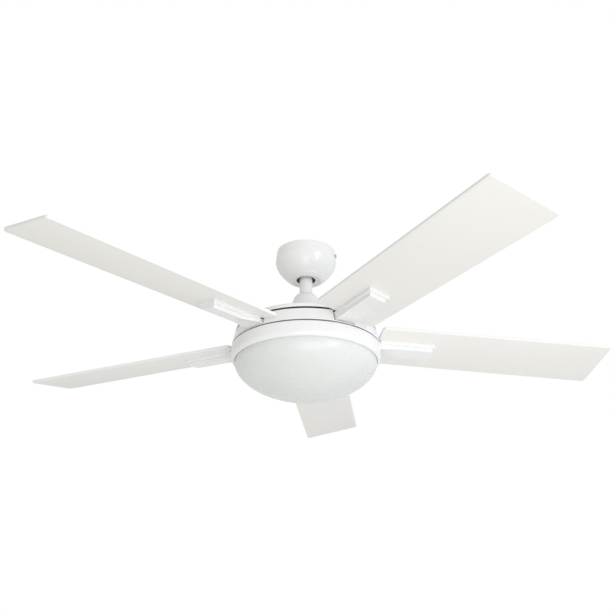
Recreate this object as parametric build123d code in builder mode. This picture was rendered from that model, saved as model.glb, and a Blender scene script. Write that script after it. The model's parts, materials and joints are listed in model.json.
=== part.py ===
"""Five-blade ceiling fan with a bowl light, hung on a short downrod.

Millimetres. The origin is on the fan's axis in the plane of the ceiling, and +Z points up into it,
so the whole fan has negative heights. Headings are counted anticlockwise from +X, seen from above.
"""
from build123d import *
import math
import os

# ---------------------------------------------------------------------------------------------
# General
SHEET = 1.2                # pressed steel covers
PLATE = 2.0                # bracket steel
RUN_GAP = 0.05             # running clearance of a shaft or a ball in its race, on the radius
SEAT_GAP = 0.3             # clearance between curved faces that slide or swing past each other
FIT_GAP = 0.05             # clearance of a pin, rod or screw in its hole, on the radius

# Ceiling bracket and canopy
BOX_SCREW_SPACING = 88.9   # outlet-box screw centres
BOX_SLOT_WIDTH = 5.2
BOX_SLOT_LENGTH = 12.0
BRACKET_WIDTH = 38.0
BRACKET_LEG_WIDTH = 30.0
CANOPY_DROP = 1.0          # the rim stays this far off the ceiling
CANOPY_RIM_R = 57.9
CANOPY_WAIST_R = 60.3
CANOPY_CONE_H = 20.0       # slightly conical upper side
CANOPY_WAIST_H = 23.1      # rim to the widest ring
CANOPY_BOWL_H = 52.5       # height scale of the bowl's curve
CANOPY_BOWL_POWER = 1.62
CANOPY_STEP_R = 38.0       # where the bowl stops at a small pressed step
CANOPY_RIDGE_R = 29.0
CANOPY_H = 64.0            # rim to the ridge, the lowest line
CANOPY_RECESS = 2.3        # the flat round the hole is pressed back up by this much
CANOPY_HOLE_GAP = 6.1      # rod to the canopy's hole, which leaves room for the fan to swing
CANOPY_SCREW_H = 14.0      # below the rim
CANOPY_SCREW_R = 2.0
CANOPY_SCREW_TURN = 13.0   # the two screws stand this far to each side of X
CANOPY_HOOK_W = 8.0        # bracket's hook, which holds the canopy opposite its screws

# Hanger ball and downrod
BALL_R = 24.0
BALL_CENTRE_H = 41.0       # ceiling to the ball's centre
BALL_TOP_FLAT = 18.0       # the ball is cut flat this far above its centre
ROD_R = 12.7
ROD_WALL = 2.0
ROD_LENGTH = 107.0
BALL_PIN_R = 3.0
GUIDE_PIN_R = 2.5          # bracket's guide pin, which keeps the ball from turning about the rod

# Coupling and its cover
COVER_TOP_H = 94.5         # ceiling to the top of the coupling cover
COVER_H = 43.5
COVER_BASE_R = 40.0
COUPLER_WALL = 4.0
COUPLER_FLANGE_R = 33.0
COUPLER_FLANGE_T = 3.0
COUPLER_BORE_DEPTH = 19.0
CLEVIS_PIN_R = 3.2

# Motor
SHAFT_R = 7.5
SHAFT_WALL = 2.5
RACE_T = 2.9               # thickness of each bearing race
BEARING_W = 11.0
BALL_COUNT = 8
STATOR_R = 58.0
STATOR_H = 18.0
AIR_GAP = 0.5
ROTOR_CORE_W = 19.0        # radial width of the ring that turns round the stator
CORE_SCREW_IN = 9.0        # its screws, in from its outer face
BELL_WALL = 2.5
MOTOR_H = 47.0             # over the two bells
COUPLER_TO_MOTOR = 9.0     # flange underside to the top bell
STATOR_SLOTS = 12
WINDING_RISE = 4.5

# Top cover, turning band and light ring, one above the other
HOUSING_R = 136.0          # bottom edge of the top cover
TOP_RIM_H = 36.5           # drop from the cover's flat seat to its rounded rim
TOP_SKIRT_H = 6.2
TOP_DOME_RISE = 1.4        # how far the dome bulges over a straight cone
BAND_GAP = 3.7
BAND_TOP_STEP = 0.5        # the band's top edge stands out past the cover by this much
BAND_FLARE = 5.5
BAND_WALL = 1.5
BAND_FOOT_H = 3.2          # wall below the level on which the arms lie
BAND_HUB_R = 36.0
RING_GAP = 2.6
RING_STEP = 0.6            # the light ring is wider than the band by this much
RING_H = 27.5
RING_WALL = 1.5
RING_ROLL_H = 10.0         # rounded lower edge
RING_ROLL_IN = 7.2
RING_FLANGE_W = 14.0

# Blades and their arms
BLADE_COUNT = 5
FIRST_BLADE_HEADING = 11.75
BLADE_TIP_R = 609.6
BLADE_GAP = 2.5            # band's upper edge to the blade's root edge
BLADE_ROOT_W = 120.0
BLADE_TIP_W = 128.0
BLADE_T = 5.5
BLADE_CORNER_R = 8.0
BLADE_PITCH = 12.0         # the anticlockwise edge is the lower one
BLADE_DROOP = 0.39
BLADE_SEAT_H = 9.2         # slot's sill to the blade's underside, on the axis
ARM_W = 41.0
ARM_STEP_T = 7.0           # each of the two steps under the blade
ARM_STEP_IN = 5.0          # second step is inset this much on its sides and end
ARM_END_R = 254.0
ARM_TWIST_END_R = 182.0    # outside here the arm follows the blade's pitch
ARM_NECK_OUT = 2.0         # neck inside the slot runs this far past the band
ARM_NECK_DROP = 2.5        # neck's top below the blade
ARM_NECK_IN = 1.0          # neck is narrower than the arm by this much on each side
ARM_NECK_STEP_T = 5.0      # upper step's thickness where it meets the neck
ARM_FOOT_T = 6.5
ARM_FOOT_R = 42.0
ARM_SLOT_GAP = 1.5
ARM_SCREW_R = 66.0
ARM_SCREW_SPREAD = 26.0
BLADE_SCREW_R = 2.2
BLADE_SCREW_SPREAD = 20.0
BLADE_SCREW_HEAD_R = 4.5

# Light kit
GLASS_GAP = 0.7            # light ring's lip to the glass
GLASS_T = 3.5
GLASS_NECK_H = 16.0        # straight neck inside the ring and just below it
GLASS_NECK_OUT = 4.0       # part of that neck which shows below the ring
GLASS_BOWL_H = 65.5
GLASS_BOWL_POWER = 1.76
PAN_T = 1.5
LUG_COUNT = 3
LUG_ANGLE = 12.0
HOOK_ANGLE = 32.0
LAMP_DROP = 31.0           # pan's underside to the lamps' axis
LAMP_BRACKET_GAP = 1.0     # shaft nut to the bracket's side
HOLDER_R = 17.0
HOLDER_L = 30.0
CAP_R = 13.1
BULB_R = 23.0
LEAD_R = 1.3               # supply wires, insulation included
BULB_L = 63.0
SWITCH_TRAVEL = 3.0
SWITCH_KNOB_W = 5.0
SWITCH_KNOB_H = 3.0

# ---------------------------------------------------------------------------------------------
# Heights that follow from the sizes above
Z_CANOPY_RIM = -CANOPY_DROP
Z_BALL = -BALL_CENTRE_H
Z_ROD_TOP = Z_BALL + BALL_TOP_FLAT
Z_ROD_END = Z_ROD_TOP - ROD_LENGTH
Z_COVER_TOP = -COVER_TOP_H
Z_COVER_SEAT = Z_COVER_TOP - COVER_H           # flat top of the top cover, which carries it
Z_FLANGE = Z_COVER_SEAT - SHEET                # coupler flange, screwed up under the top cover
Z_MOTOR_TOP = Z_FLANGE - COUPLER_FLANGE_T - COUPLER_TO_MOTOR
Z_MOTOR_BASE = Z_MOTOR_TOP - MOTOR_H
Z_SILL = Z_MOTOR_BASE - ARM_FOOT_T             # floor of the band, on which the arms lie
Z_TOP_RIM = Z_COVER_SEAT - TOP_RIM_H
Z_TOP_EDGE = Z_TOP_RIM - TOP_SKIRT_H
Z_BAND_TOP = Z_TOP_EDGE - BAND_GAP
Z_BAND_BASE = Z_SILL - BAND_FOOT_H
Z_RING_TOP = Z_BAND_BASE - RING_GAP
Z_RING_BASE = Z_RING_TOP - RING_H
Z_PAN_TOP = Z_RING_TOP - RING_WALL
Z_PAN = Z_PAN_TOP - PAN_T
Z_NECK_BASE = Z_RING_BASE - GLASS_NECK_OUT
Z_GLASS_RIM = Z_NECK_BASE + GLASS_NECK_H
Z_GLASS_BASE = Z_NECK_BASE - GLASS_BOWL_H
Z_LAMP = Z_PAN - LAMP_DROP
Z_STATOR = Z_MOTOR_TOP - MOTOR_H / 2

# Radii that follow
CANOPY_HOLE_R = ROD_R + CANOPY_HOLE_GAP
BEARING_R = SHAFT_R + 10.0
RACE_BALL_R = (BEARING_R - SHAFT_R) / 2 - RACE_T + 0.9
RACE_PITCH_R = (SHAFT_R + BEARING_R) / 2
ROTOR_CORE_R = STATOR_R + AIR_GAP + ROTOR_CORE_W
MOTOR_R = ROTOR_CORE_R + BELL_WALL
SHAFT_NUT_R = SHAFT_R + 4.5
BAND_TOP_R = HOUSING_R + BAND_TOP_STEP
BAND_R = BAND_TOP_R + BAND_FLARE
RING_R = BAND_R + RING_STEP
LIP_R = RING_R - RING_ROLL_IN
GLASS_R = LIP_R - GLASS_GAP
COLLAR_R = GLASS_R - GLASS_T
PAN_R = RING_R - RING_WALL - SEAT_GAP
BLADE_ROOT_R = BAND_TOP_R + BLADE_GAP
ARM_NECK_END_R = BAND_R + ARM_NECK_OUT
COUPLER_R = ROD_R + FIT_GAP + COUPLER_WALL
BRACKET_LEG_X = BALL_R + 5.0                   # inner face of each leg

os.makedirs("parts", exist_ok=True)


def save(builder, name):
    """Label a finished piece and write its STEP file."""
    builder.part.label = name
    export_step(builder.part, "parts/" + name + ".step")


def turned(outline, mode=Mode.ADD):
    """Turn a closed outline of (radius, height) points about the fan's axis."""
    with BuildSketch(Plane.XZ) as section:
        with BuildLine():
            Polyline(*outline, close=True)
        make_face()
    revolve(section.sketch, axis=Axis.Z, mode=mode)


def ring(inner, outer, low, high, mode=Mode.ADD):
    """A plain ring or, with no inner radius, a disc between two heights."""
    with BuildSketch(Plane.XY.offset(low)) as section:
        Circle(outer)
        if inner:
            Circle(inner, mode=Mode.SUBTRACT)
    extrude(section.sketch, amount=high - low, mode=mode)


def block(x_range, y_range, z_range, mode=Mode.ADD):
    """A box given by its lowest and highest coordinates."""
    with BuildSketch(Plane.XY.offset(z_range[0])) as section:
        with Locations(((x_range[0] + x_range[1]) / 2, (y_range[0] + y_range[1]) / 2)):
            Rectangle(x_range[1] - x_range[0], y_range[1] - y_range[0])
    extrude(section.sketch, amount=z_range[1] - z_range[0], mode=mode)


def rod_between(start, end, radius, mode=Mode.ADD):
    """A round pin from one point to another."""
    axis = Vector(*end) - Vector(*start)
    with BuildSketch(Plane(origin=start, z_dir=axis)) as section:
        Circle(radius)
    extrude(section.sketch, amount=axis.length, mode=mode)


def sector(inner, outer, low, high, middle, angle, mode=Mode.ADD):
    """A piece of ring, centred on one heading."""
    with BuildSketch(Plane.XY.offset(low)) as section:
        with BuildLine():
            start = middle - angle / 2
            far = CenterArc((0, 0), outer, start, angle)
            near = CenterArc((0, 0), inner, start, angle)
            Line(far @ 0, near @ 0)
            Line(far @ 1, near @ 1)
        make_face()
    extrude(section.sketch, amount=high - low, mode=mode)


def bowl_curve(radius, depth, power, top, stop_radius):
    """Points of a rounded bowl, from its vertical side down and in to stop_radius."""
    points = []
    last = math.acos((stop_radius / radius) ** (power / 2))
    for step in range(9):
        angle = last * step / 8
        across = radius * math.cos(angle) ** (2 / power)
        down = depth * math.sin(angle) ** (2 / power)
        points.append((across, top - down))
    return points


# ---------------------------------------------------------------------------------------------
# Ceiling bracket: a flat plate on the outlet box, two legs, and a seat for the hanger ball
seat_top = Z_BALL - 0.58 * BALL_R
seat_base = seat_top - PLATE
canopy_side_r = CANOPY_RIM_R + (CANOPY_WAIST_R - CANOPY_RIM_R) * CANOPY_SCREW_H / CANOPY_CONE_H
tab_x = canopy_side_r - SHEET - 4.0
Z_CANOPY_SCREW = Z_CANOPY_RIM - CANOPY_SCREW_H


def canopy_screw_holes(start, end, radius):
    """Cut the two radial holes of the canopy's screws, between two distances from the axis."""
    for turn in (-CANOPY_SCREW_TURN, CANOPY_SCREW_TURN):
        out_x = math.cos(math.radians(turn))
        out_y = math.sin(math.radians(turn))
        near = (start * out_x, start * out_y, Z_CANOPY_SCREW)
        far = (end * out_x, end * out_y, Z_CANOPY_SCREW)
        rod_between(near, far, radius, mode=Mode.SUBTRACT)


with BuildPart() as hanger_bracket:
    with BuildSketch(Plane.XY.offset(-PLATE)):
        Rectangle(2 * tab_x, BRACKET_WIDTH)
        with Locations((0, BRACKET_WIDTH / 2), (0, -BRACKET_WIDTH / 2)):
            Circle(8.0, mode=Mode.SUBTRACT)
        with GridLocations(BOX_SCREW_SPACING, 0, 2, 1):
            SlotOverall(BOX_SLOT_LENGTH, BOX_SLOT_WIDTH, mode=Mode.SUBTRACT)
        Circle(CANOPY_RIM_R - SHEET - 0.7, mode=Mode.INTERSECT)
    extrude(amount=PLATE)
    for side in (-1, 1):
        leg_x = sorted((side * BRACKET_LEG_X, side * (BRACKET_LEG_X + PLATE)))
        block(leg_x, (-BRACKET_LEG_WIDTH / 2, BRACKET_LEG_WIDTH / 2), (seat_base, -PLATE))
    with BuildSketch(Plane.XY.offset(Z_CANOPY_SCREW - 6.0)):
        Circle(tab_x)
        Circle(tab_x - PLATE, mode=Mode.SUBTRACT)
        Rectangle(2 * tab_x, BRACKET_WIDTH - 2.0, mode=Mode.INTERSECT)
    extrude(amount=-Z_CANOPY_SCREW + 6.0 - PLATE)
    block((-canopy_side_r + SEAT_GAP, PLATE / 2 - tab_x), (-CANOPY_HOOK_W / 2, CANOPY_HOOK_W / 2),
          (Z_CANOPY_SCREW - PLATE / 2, Z_CANOPY_SCREW + PLATE / 2))
    ring(0, BRACKET_LEG_X + PLATE + 2.0, seat_base, seat_top)
    with Locations((0, 0, Z_BALL)):
        Sphere(BALL_R + SEAT_GAP, mode=Mode.SUBTRACT)
    block((-ROD_R - 1.0, ROD_R + 1.0), (-2 * BALL_R, 0), (seat_base, seat_top), mode=Mode.SUBTRACT)
    rod_between((BALL_R - 2.5, 0, Z_BALL), (BRACKET_LEG_X + PLATE / 2, 0, Z_BALL), GUIDE_PIN_R)
    canopy_screw_holes(tab_x - 5.0, tab_x + 1.0, CANOPY_SCREW_R)
save(hanger_bracket, "hanger_bracket")

with BuildPart() as ground_screw:
    ground_y = 10.0
    rod_between((BRACKET_LEG_X + PLATE, ground_y, -30.0), (BRACKET_LEG_X + PLATE + 2.4, ground_y, -30.0), 3.4)
save(ground_screw, "ground_screw")

with BuildPart() as remote_receiver:
    block((-27.0, 27.0), (-15.0, 15.0), (Z_ROD_TOP + 5.5, -PLATE))
    fillet(remote_receiver.edges().filter_by(Axis.Z), radius=2.5)
    fillet(remote_receiver.faces().sort_by(Axis.Z)[0].edges(), radius=1.0)
save(remote_receiver, "remote_receiver")

# Canopy: one thin pressing with a step, a ridge and a recessed flat round its hole
Z_CANOPY_WAIST = Z_CANOPY_RIM - CANOPY_WAIST_H
Z_CANOPY_RIDGE = Z_CANOPY_RIM - CANOPY_H
Z_CANOPY_HOLE = Z_CANOPY_RIDGE + CANOPY_RECESS
with BuildPart() as canopy:
    with BuildSketch(Plane.XZ):
        with BuildLine():
            outer_bowl = bowl_curve(CANOPY_WAIST_R, CANOPY_BOWL_H, CANOPY_BOWL_POWER, Z_CANOPY_WAIST,
                                    CANOPY_STEP_R)
            inner_bowl = bowl_curve(CANOPY_WAIST_R - SHEET, CANOPY_BOWL_H - SHEET, CANOPY_BOWL_POWER,
                                    Z_CANOPY_WAIST, CANOPY_STEP_R - SHEET)
            step_z = outer_bowl[-1][1]
            inner_step_z = inner_bowl[-1][1]
            crease_z = Z_CANOPY_RIM - CANOPY_CONE_H
            Polyline((CANOPY_RIM_R, Z_CANOPY_RIM), (CANOPY_WAIST_R - 0.3, crease_z), outer_bowl[0])
            Spline(*outer_bowl, tangents=((0, -1), (-1, -0.35)))
            Polyline(outer_bowl[-1], (CANOPY_STEP_R - 0.6, step_z - 1.2),
                     (CANOPY_RIDGE_R + 2.5, Z_CANOPY_RIDGE + 0.5))
            ThreePointArc((CANOPY_RIDGE_R + 2.5, Z_CANOPY_RIDGE + 0.5), (CANOPY_RIDGE_R, Z_CANOPY_RIDGE),
                          (CANOPY_RIDGE_R - 1.5, Z_CANOPY_RIDGE + 0.8))
            Polyline((CANOPY_RIDGE_R - 1.5, Z_CANOPY_RIDGE + 0.8), (CANOPY_RIDGE_R - 3.5, Z_CANOPY_HOLE),
                     (CANOPY_HOLE_R, Z_CANOPY_HOLE), (CANOPY_HOLE_R, Z_CANOPY_HOLE + SHEET),
                     (CANOPY_RIDGE_R, Z_CANOPY_HOLE + SHEET), (CANOPY_STEP_R - 3.0, inner_step_z - 0.9),
                     inner_bowl[-1])
            Spline(*reversed(inner_bowl), tangents=((1, 0.35), (0, 1)))
            Polyline(inner_bowl[0], (CANOPY_WAIST_R - 0.3 - SHEET, crease_z),
                     (CANOPY_RIM_R - SHEET, Z_CANOPY_RIM), (CANOPY_RIM_R, Z_CANOPY_RIM))
        make_face()
    revolve(axis=Axis.Z)
    canopy_screw_holes(tab_x + 1.0, CANOPY_WAIST_R + 2.0, CANOPY_SCREW_R + SEAT_GAP)
    hook_y = CANOPY_HOOK_W / 2 + SEAT_GAP
    hook_z = PLATE / 2 + SEAT_GAP
    block((-CANOPY_WAIST_R - 2.0, -tab_x - 1.0), (-hook_y, hook_y),
          (Z_CANOPY_SCREW - hook_z, Z_CANOPY_SCREW + hook_z), mode=Mode.SUBTRACT)
save(canopy, "canopy")

with BuildPart() as canopy_screw_pattern:
    rod_between((tab_x - 4.0, 0, Z_CANOPY_SCREW), (canopy_side_r + 0.6, 0, Z_CANOPY_SCREW), CANOPY_SCREW_R)
    rod_between((canopy_side_r + 0.4, 0, Z_CANOPY_SCREW), (canopy_side_r + 2.6, 0, Z_CANOPY_SCREW), 3.8)
    fillet(canopy_screw_pattern.faces().sort_by(Axis.X)[-1].edges(), radius=1.2)
with BuildPart() as canopy_screws:
    for turn in (-CANOPY_SCREW_TURN, CANOPY_SCREW_TURN):
        add(canopy_screw_pattern.part, rotation=(0, 0, turn))
save(canopy_screws, "canopy_screws")

# ---------------------------------------------------------------------------------------------
# Hanger ball with its cross pin and set screw, and the downrod
ball_base_r = ROD_R + 2.5
ball_low = Z_BALL - math.sqrt(BALL_R ** 2 - ball_base_r ** 2)
Z_BALL_PIN = Z_BALL + 3.0
Z_BALL_SCREW = Z_BALL - 9.0
ball_screw_out = math.sqrt(BALL_R ** 2 - (Z_BALL_SCREW - Z_BALL) ** 2) - 1.0
ball_pin_half = math.sqrt(BALL_R ** 2 - (Z_BALL_PIN - Z_BALL) ** 2) - 2.5

with BuildPart() as hanger_ball:
    with Locations((0, 0, Z_BALL)):
        Sphere(BALL_R)
    ring(0, 2 * BALL_R, Z_ROD_TOP, Z_BALL + 2 * BALL_R, mode=Mode.SUBTRACT)
    ring(0, 2 * BALL_R, Z_BALL - 2 * BALL_R, ball_low, mode=Mode.SUBTRACT)
    ring(0, ROD_R + FIT_GAP, ball_low - 1.0, Z_ROD_TOP + 1.0, mode=Mode.SUBTRACT)
    block((BALL_R - 3.0, BALL_R + 1.0), (-GUIDE_PIN_R - 0.5, GUIDE_PIN_R + 0.5),
          (Z_BALL - BALL_R, Z_BALL + BALL_R), mode=Mode.SUBTRACT)
    rod_between((0, -BALL_R, Z_BALL_PIN), (0, BALL_R, Z_BALL_PIN), BALL_PIN_R + FIT_GAP, mode=Mode.SUBTRACT)
    rod_between((-BALL_R, 0, Z_BALL_SCREW), (0, 0, Z_BALL_SCREW), 2.0 + FIT_GAP, mode=Mode.SUBTRACT)
save(hanger_ball, "hanger_ball")

with BuildPart() as ball_pin:
    rod_between((0, -ball_pin_half, Z_BALL_PIN), (0, ball_pin_half, Z_BALL_PIN), BALL_PIN_R)
    chamfer(ball_pin.edges().filter_by(GeomType.CIRCLE), length=0.6)
save(ball_pin, "ball_pin")

with BuildPart() as ball_set_screw:
    rod_between((-ball_screw_out, 0, Z_BALL_SCREW), (-ROD_R - FIT_GAP, 0, Z_BALL_SCREW), 2.0)
    with BuildSketch(Plane(origin=(-ball_screw_out, 0, Z_BALL_SCREW), z_dir=(1, 0, 0))):
        RegularPolygon(1.1, 6)
    extrude(amount=2.0, mode=Mode.SUBTRACT)
save(ball_set_screw, "ball_set_screw")

Z_CLEVIS = Z_ROD_END + 8.0
with BuildPart() as downrod:
    ring(ROD_R - ROD_WALL, ROD_R, Z_ROD_END, Z_ROD_TOP)
    rod_between((0, -2 * ROD_R, Z_BALL_PIN), (0, 2 * ROD_R, Z_BALL_PIN), BALL_PIN_R + FIT_GAP,
                mode=Mode.SUBTRACT)
    rod_between((-2 * ROD_R, 0, Z_CLEVIS), (2 * ROD_R, 0, Z_CLEVIS), CLEVIS_PIN_R + FIT_GAP,
                mode=Mode.SUBTRACT)
save(downrod, "downrod")

# ---------------------------------------------------------------------------------------------
# Coupler under the rod, its pin, clip and screws, and the bell-shaped cover over it
Z_COUPLER_TOP = Z_ROD_END + COUPLER_BORE_DEPTH
Z_COUPLER_BASE = Z_FLANGE - COUPLER_FLANGE_T - 4.0
Z_COUPLER_WEB = Z_ROD_END - 8.0
Z_SHAFT_TOP = Z_FLANGE
with BuildPart() as motor_coupler:
    ring(0, COUPLER_R, Z_FLANGE, Z_COUPLER_TOP)
    ring(0, COUPLER_FLANGE_R, Z_FLANGE - COUPLER_FLANGE_T, Z_FLANGE)
    ring(0, SHAFT_R + 5.0, Z_COUPLER_BASE, Z_FLANGE)
    ring(0, ROD_R + FIT_GAP, Z_ROD_END, Z_COUPLER_TOP, mode=Mode.SUBTRACT)
    ring(0, ROD_R - ROD_WALL, Z_COUPLER_WEB, Z_ROD_END, mode=Mode.SUBTRACT)
    ring(0, SHAFT_R - SHAFT_WALL, Z_FLANGE - 1.0, Z_COUPLER_WEB, mode=Mode.SUBTRACT)
    ring(0, SHAFT_R, Z_COUPLER_BASE, Z_SHAFT_TOP, mode=Mode.SUBTRACT)
    rod_between((-2 * COUPLER_R, 0, Z_CLEVIS), (2 * COUPLER_R, 0, Z_CLEVIS), CLEVIS_PIN_R + FIT_GAP,
                mode=Mode.SUBTRACT)
    for side in (-1, 1):
        rod_between((0, 0, Z_CLEVIS + 5.0), (0, side * 2 * COUPLER_R, Z_CLEVIS + 5.0), 2.5,
                    mode=Mode.SUBTRACT)
    with BuildSketch(Plane.XY.offset(Z_FLANGE - COUPLER_FLANGE_T)):
        with PolarLocations(COUPLER_FLANGE_R - 5.0, 3):
            Circle(2.0)
    extrude(amount=COUPLER_FLANGE_T, mode=Mode.SUBTRACT)
save(motor_coupler, "motor_coupler")

pin_end = COUPLER_R + 4.5
with BuildPart() as clevis_pin:
    rod_between((-COUPLER_R, 0, Z_CLEVIS), (pin_end, 0, Z_CLEVIS), CLEVIS_PIN_R)
    rod_between((-COUPLER_R - 2.0, 0, Z_CLEVIS), (-COUPLER_R, 0, Z_CLEVIS), CLEVIS_PIN_R + 1.8)
    rod_between((COUPLER_R + 2.5, 0, Z_CLEVIS - 8.0), (COUPLER_R + 2.5, 0, Z_CLEVIS + 8.0), 0.9,
                mode=Mode.SUBTRACT)
save(clevis_pin, "clevis_pin")

clip_x = COUPLER_R + 2.5
with BuildPart() as hairpin_clip:
    with BuildLine():
        Polyline((clip_x, 0, Z_CLEVIS - 6.5), (clip_x, 0, Z_CLEVIS + 6.0))
        ThreePointArc((clip_x, 0, Z_CLEVIS + 6.0), (clip_x, 2.6, Z_CLEVIS + 8.6),
                      (clip_x, 5.2, Z_CLEVIS + 6.0))
        Line((clip_x, 5.2, Z_CLEVIS + 6.0), (clip_x, 5.2, Z_CLEVIS - 5.0))
    with BuildSketch(Plane(origin=(clip_x, 0, Z_CLEVIS - 6.5), z_dir=(0, 0, 1))):
        Circle(0.8)
    sweep()
save(hairpin_clip, "hairpin_clip")

with BuildPart() as coupler_screws:
    for side in (-1, 1):
        seat = (0, side * (COUPLER_R + 2.5), Z_CLEVIS + 5.0)
        rod_between((0, side * (ROD_R + FIT_GAP), Z_CLEVIS + 5.0), seat, 2.45)
        rod_between(seat, (0, side * (COUPLER_R + 5.5), Z_CLEVIS + 5.0), 4.0)
save(coupler_screws, "coupler_screws")

# The cover's flank is a smooth bell from just clear of the rod down to the top cover
cover_top_r = ROD_R + 0.8
cover_flank = [(cover_top_r + 0.8, Z_COVER_TOP), (cover_top_r + 6.7, Z_COVER_TOP - 3.8),
               (cover_top_r + 11.6, Z_COVER_TOP - 12.5), (COVER_BASE_R - 11.5, Z_COVER_TOP - 0.51 * COVER_H),
               (COVER_BASE_R - 5.6, Z_COVER_TOP - 0.8 * COVER_H), (COVER_BASE_R, Z_COVER_SEAT)]
with BuildPart() as coupling_cover:
    with BuildSketch(Plane.XZ):
        with BuildLine():
            Spline(*cover_flank)
            Polyline(cover_flank[-1], (COVER_BASE_R - SHEET, Z_COVER_SEAT))
            Spline(*[(r - SHEET, z - 0.3) for r, z in reversed(cover_flank[2:-1])],
                   (cover_top_r + 5.2, Z_COVER_TOP - 4.8), (cover_top_r, Z_COVER_TOP - 1.4))
            Line((COVER_BASE_R - SHEET, Z_COVER_SEAT), (cover_flank[-2][0] - SHEET, cover_flank[-2][1] - 0.3))
            Polyline((cover_top_r, Z_COVER_TOP - 1.4), (cover_top_r, Z_COVER_TOP), cover_flank[0])
        make_face()
    revolve(axis=Axis.Z)
save(coupling_cover, "coupling_cover")

# ---------------------------------------------------------------------------------------------
# Top cover, fixed to the coupler's flange
top_rim_r = HOUSING_R - 1.0
dome_start = (COVER_BASE_R + 1.5, Z_COVER_SEAT)
dome_end = (top_rim_r - 4.0, Z_TOP_RIM + 3.2)
dome_middle = ((dome_start[0] + dome_end[0]) / 2, (dome_start[1] + dome_end[1]) / 2 + TOP_DOME_RISE)


def lowered(point, inward=0.0):
    """The matching point on the sheet's underside."""
    return (point[0] - inward, point[1] - SHEET)


with BuildPart() as top_cover:
    with BuildSketch(Plane.XZ):
        with BuildLine():
            Line((COUPLER_R + 0.5, Z_COVER_SEAT), dome_start)
            ThreePointArc(dome_start, dome_middle, dome_end)
            ThreePointArc(dome_end, (top_rim_r - 0.9, Z_TOP_RIM + 1.2), (top_rim_r, Z_TOP_RIM - 0.8))
            Polyline((top_rim_r, Z_TOP_RIM - 0.8), (HOUSING_R, Z_TOP_EDGE), (HOUSING_R - SHEET, Z_TOP_EDGE),
                     (top_rim_r - SHEET, Z_TOP_RIM - 1.4), lowered(dome_end, 0.7))
            ThreePointArc(lowered(dome_end, 0.7), lowered(dome_middle), lowered(dome_start))
            Polyline(lowered(dome_start), (COUPLER_R + 0.5, Z_COVER_SEAT - SHEET),
                     (COUPLER_R + 0.5, Z_COVER_SEAT))
        make_face()
    revolve(axis=Axis.Z)
    with BuildSketch(Plane.XY.offset(Z_FLANGE)):
        with PolarLocations(COUPLER_FLANGE_R - 5.0, 3):
            Circle(2.0)
    extrude(amount=SHEET, mode=Mode.SUBTRACT)
save(top_cover, "top_cover")

with BuildPart() as top_cover_screws:
    with BuildSketch(Plane.XY.offset(Z_FLANGE - COUPLER_FLANGE_T)):
        with PolarLocations(COUPLER_FLANGE_R - 5.0, 3):
            Circle(2.0)
    extrude(amount=COUPLER_FLANGE_T + SHEET)
    with BuildSketch(Plane.XY.offset(Z_COVER_SEAT)):
        with PolarLocations(COUPLER_FLANGE_R - 5.0, 3):
            Circle(3.8)
    extrude(amount=2.2)
    fillet(top_cover_screws.faces().group_by(Axis.Z)[-1].edges(), radius=1.0)
save(top_cover_screws, "top_cover_screws")

headings = [FIRST_BLADE_HEADING + 360.0 / BLADE_COUNT * number for number in range(BLADE_COUNT)]
arm_screw_y = ARM_SCREW_SPREAD / 2


def arm_screw_holes(radius, low, high):
    """Holes for every arm's two screws."""
    with BuildSketch(Plane.XY.offset(low)) as holes:
        for heading in headings:
            with Locations(Location((0, 0, 0), (0, 0, heading))):
                with Locations((ARM_SCREW_R, arm_screw_y), (ARM_SCREW_R, -arm_screw_y)):
                    Circle(radius)
    extrude(holes.sketch, amount=high - low, mode=Mode.SUBTRACT)


# ---------------------------------------------------------------------------------------------
# Motor: a fixed hollow shaft with the stator, and two bells that turn round it
Z_SHAFT_END = Z_PAN - 9.0
Z_UPPER_BEARING = Z_MOTOR_TOP - BEARING_W
Z_LOWER_BEARING = Z_MOTOR_BASE
Z_MOTOR_SPLIT = Z_STATOR
with BuildPart() as motor_shaft:
    ring(SHAFT_R - SHAFT_WALL, SHAFT_R, Z_SHAFT_END, Z_SHAFT_TOP)
save(motor_shaft, "motor_shaft")

for name, low in (("upper_bearing", Z_UPPER_BEARING), ("lower_bearing", Z_LOWER_BEARING)):
    with BuildPart() as inner_race:
        ring(SHAFT_R, SHAFT_R + RACE_T, low, low + BEARING_W)
        with Locations((0, 0, low + BEARING_W / 2)):
            Torus(RACE_PITCH_R, RACE_BALL_R + RUN_GAP, mode=Mode.SUBTRACT)
    save(inner_race, name + "_inner_race")
    with BuildPart() as outer_race:
        ring(BEARING_R - RACE_T, BEARING_R, low, low + BEARING_W)
        with Locations((0, 0, low + BEARING_W / 2)):
            Torus(RACE_PITCH_R, RACE_BALL_R + RUN_GAP, mode=Mode.SUBTRACT)
    save(outer_race, name + "_outer_race")
    with BuildPart() as bearing_balls:
        with Locations((0, 0, low + BEARING_W / 2)):
            with PolarLocations(RACE_PITCH_R, BALL_COUNT):
                Sphere(RACE_BALL_R)
    save(bearing_balls, name + "_balls")

slot_inner_r = BEARING_R + 12.0
slot_outer_r = STATOR_R - 5.0
with BuildPart() as stator_core:
    ring(SHAFT_R, STATOR_R, Z_STATOR - STATOR_H / 2, Z_STATOR + STATOR_H / 2)
    with BuildSketch(Plane.XY.offset(Z_STATOR - STATOR_H / 2)):
        with PolarLocations((slot_inner_r + slot_outer_r) / 2, STATOR_SLOTS):
            Rectangle(slot_outer_r - slot_inner_r, 7.0)
        with PolarLocations(STATOR_R - 2.0, STATOR_SLOTS):
            Rectangle(8.0, 2.0)
    extrude(amount=STATOR_H, mode=Mode.SUBTRACT)
save(stator_core, "stator_core")

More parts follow.
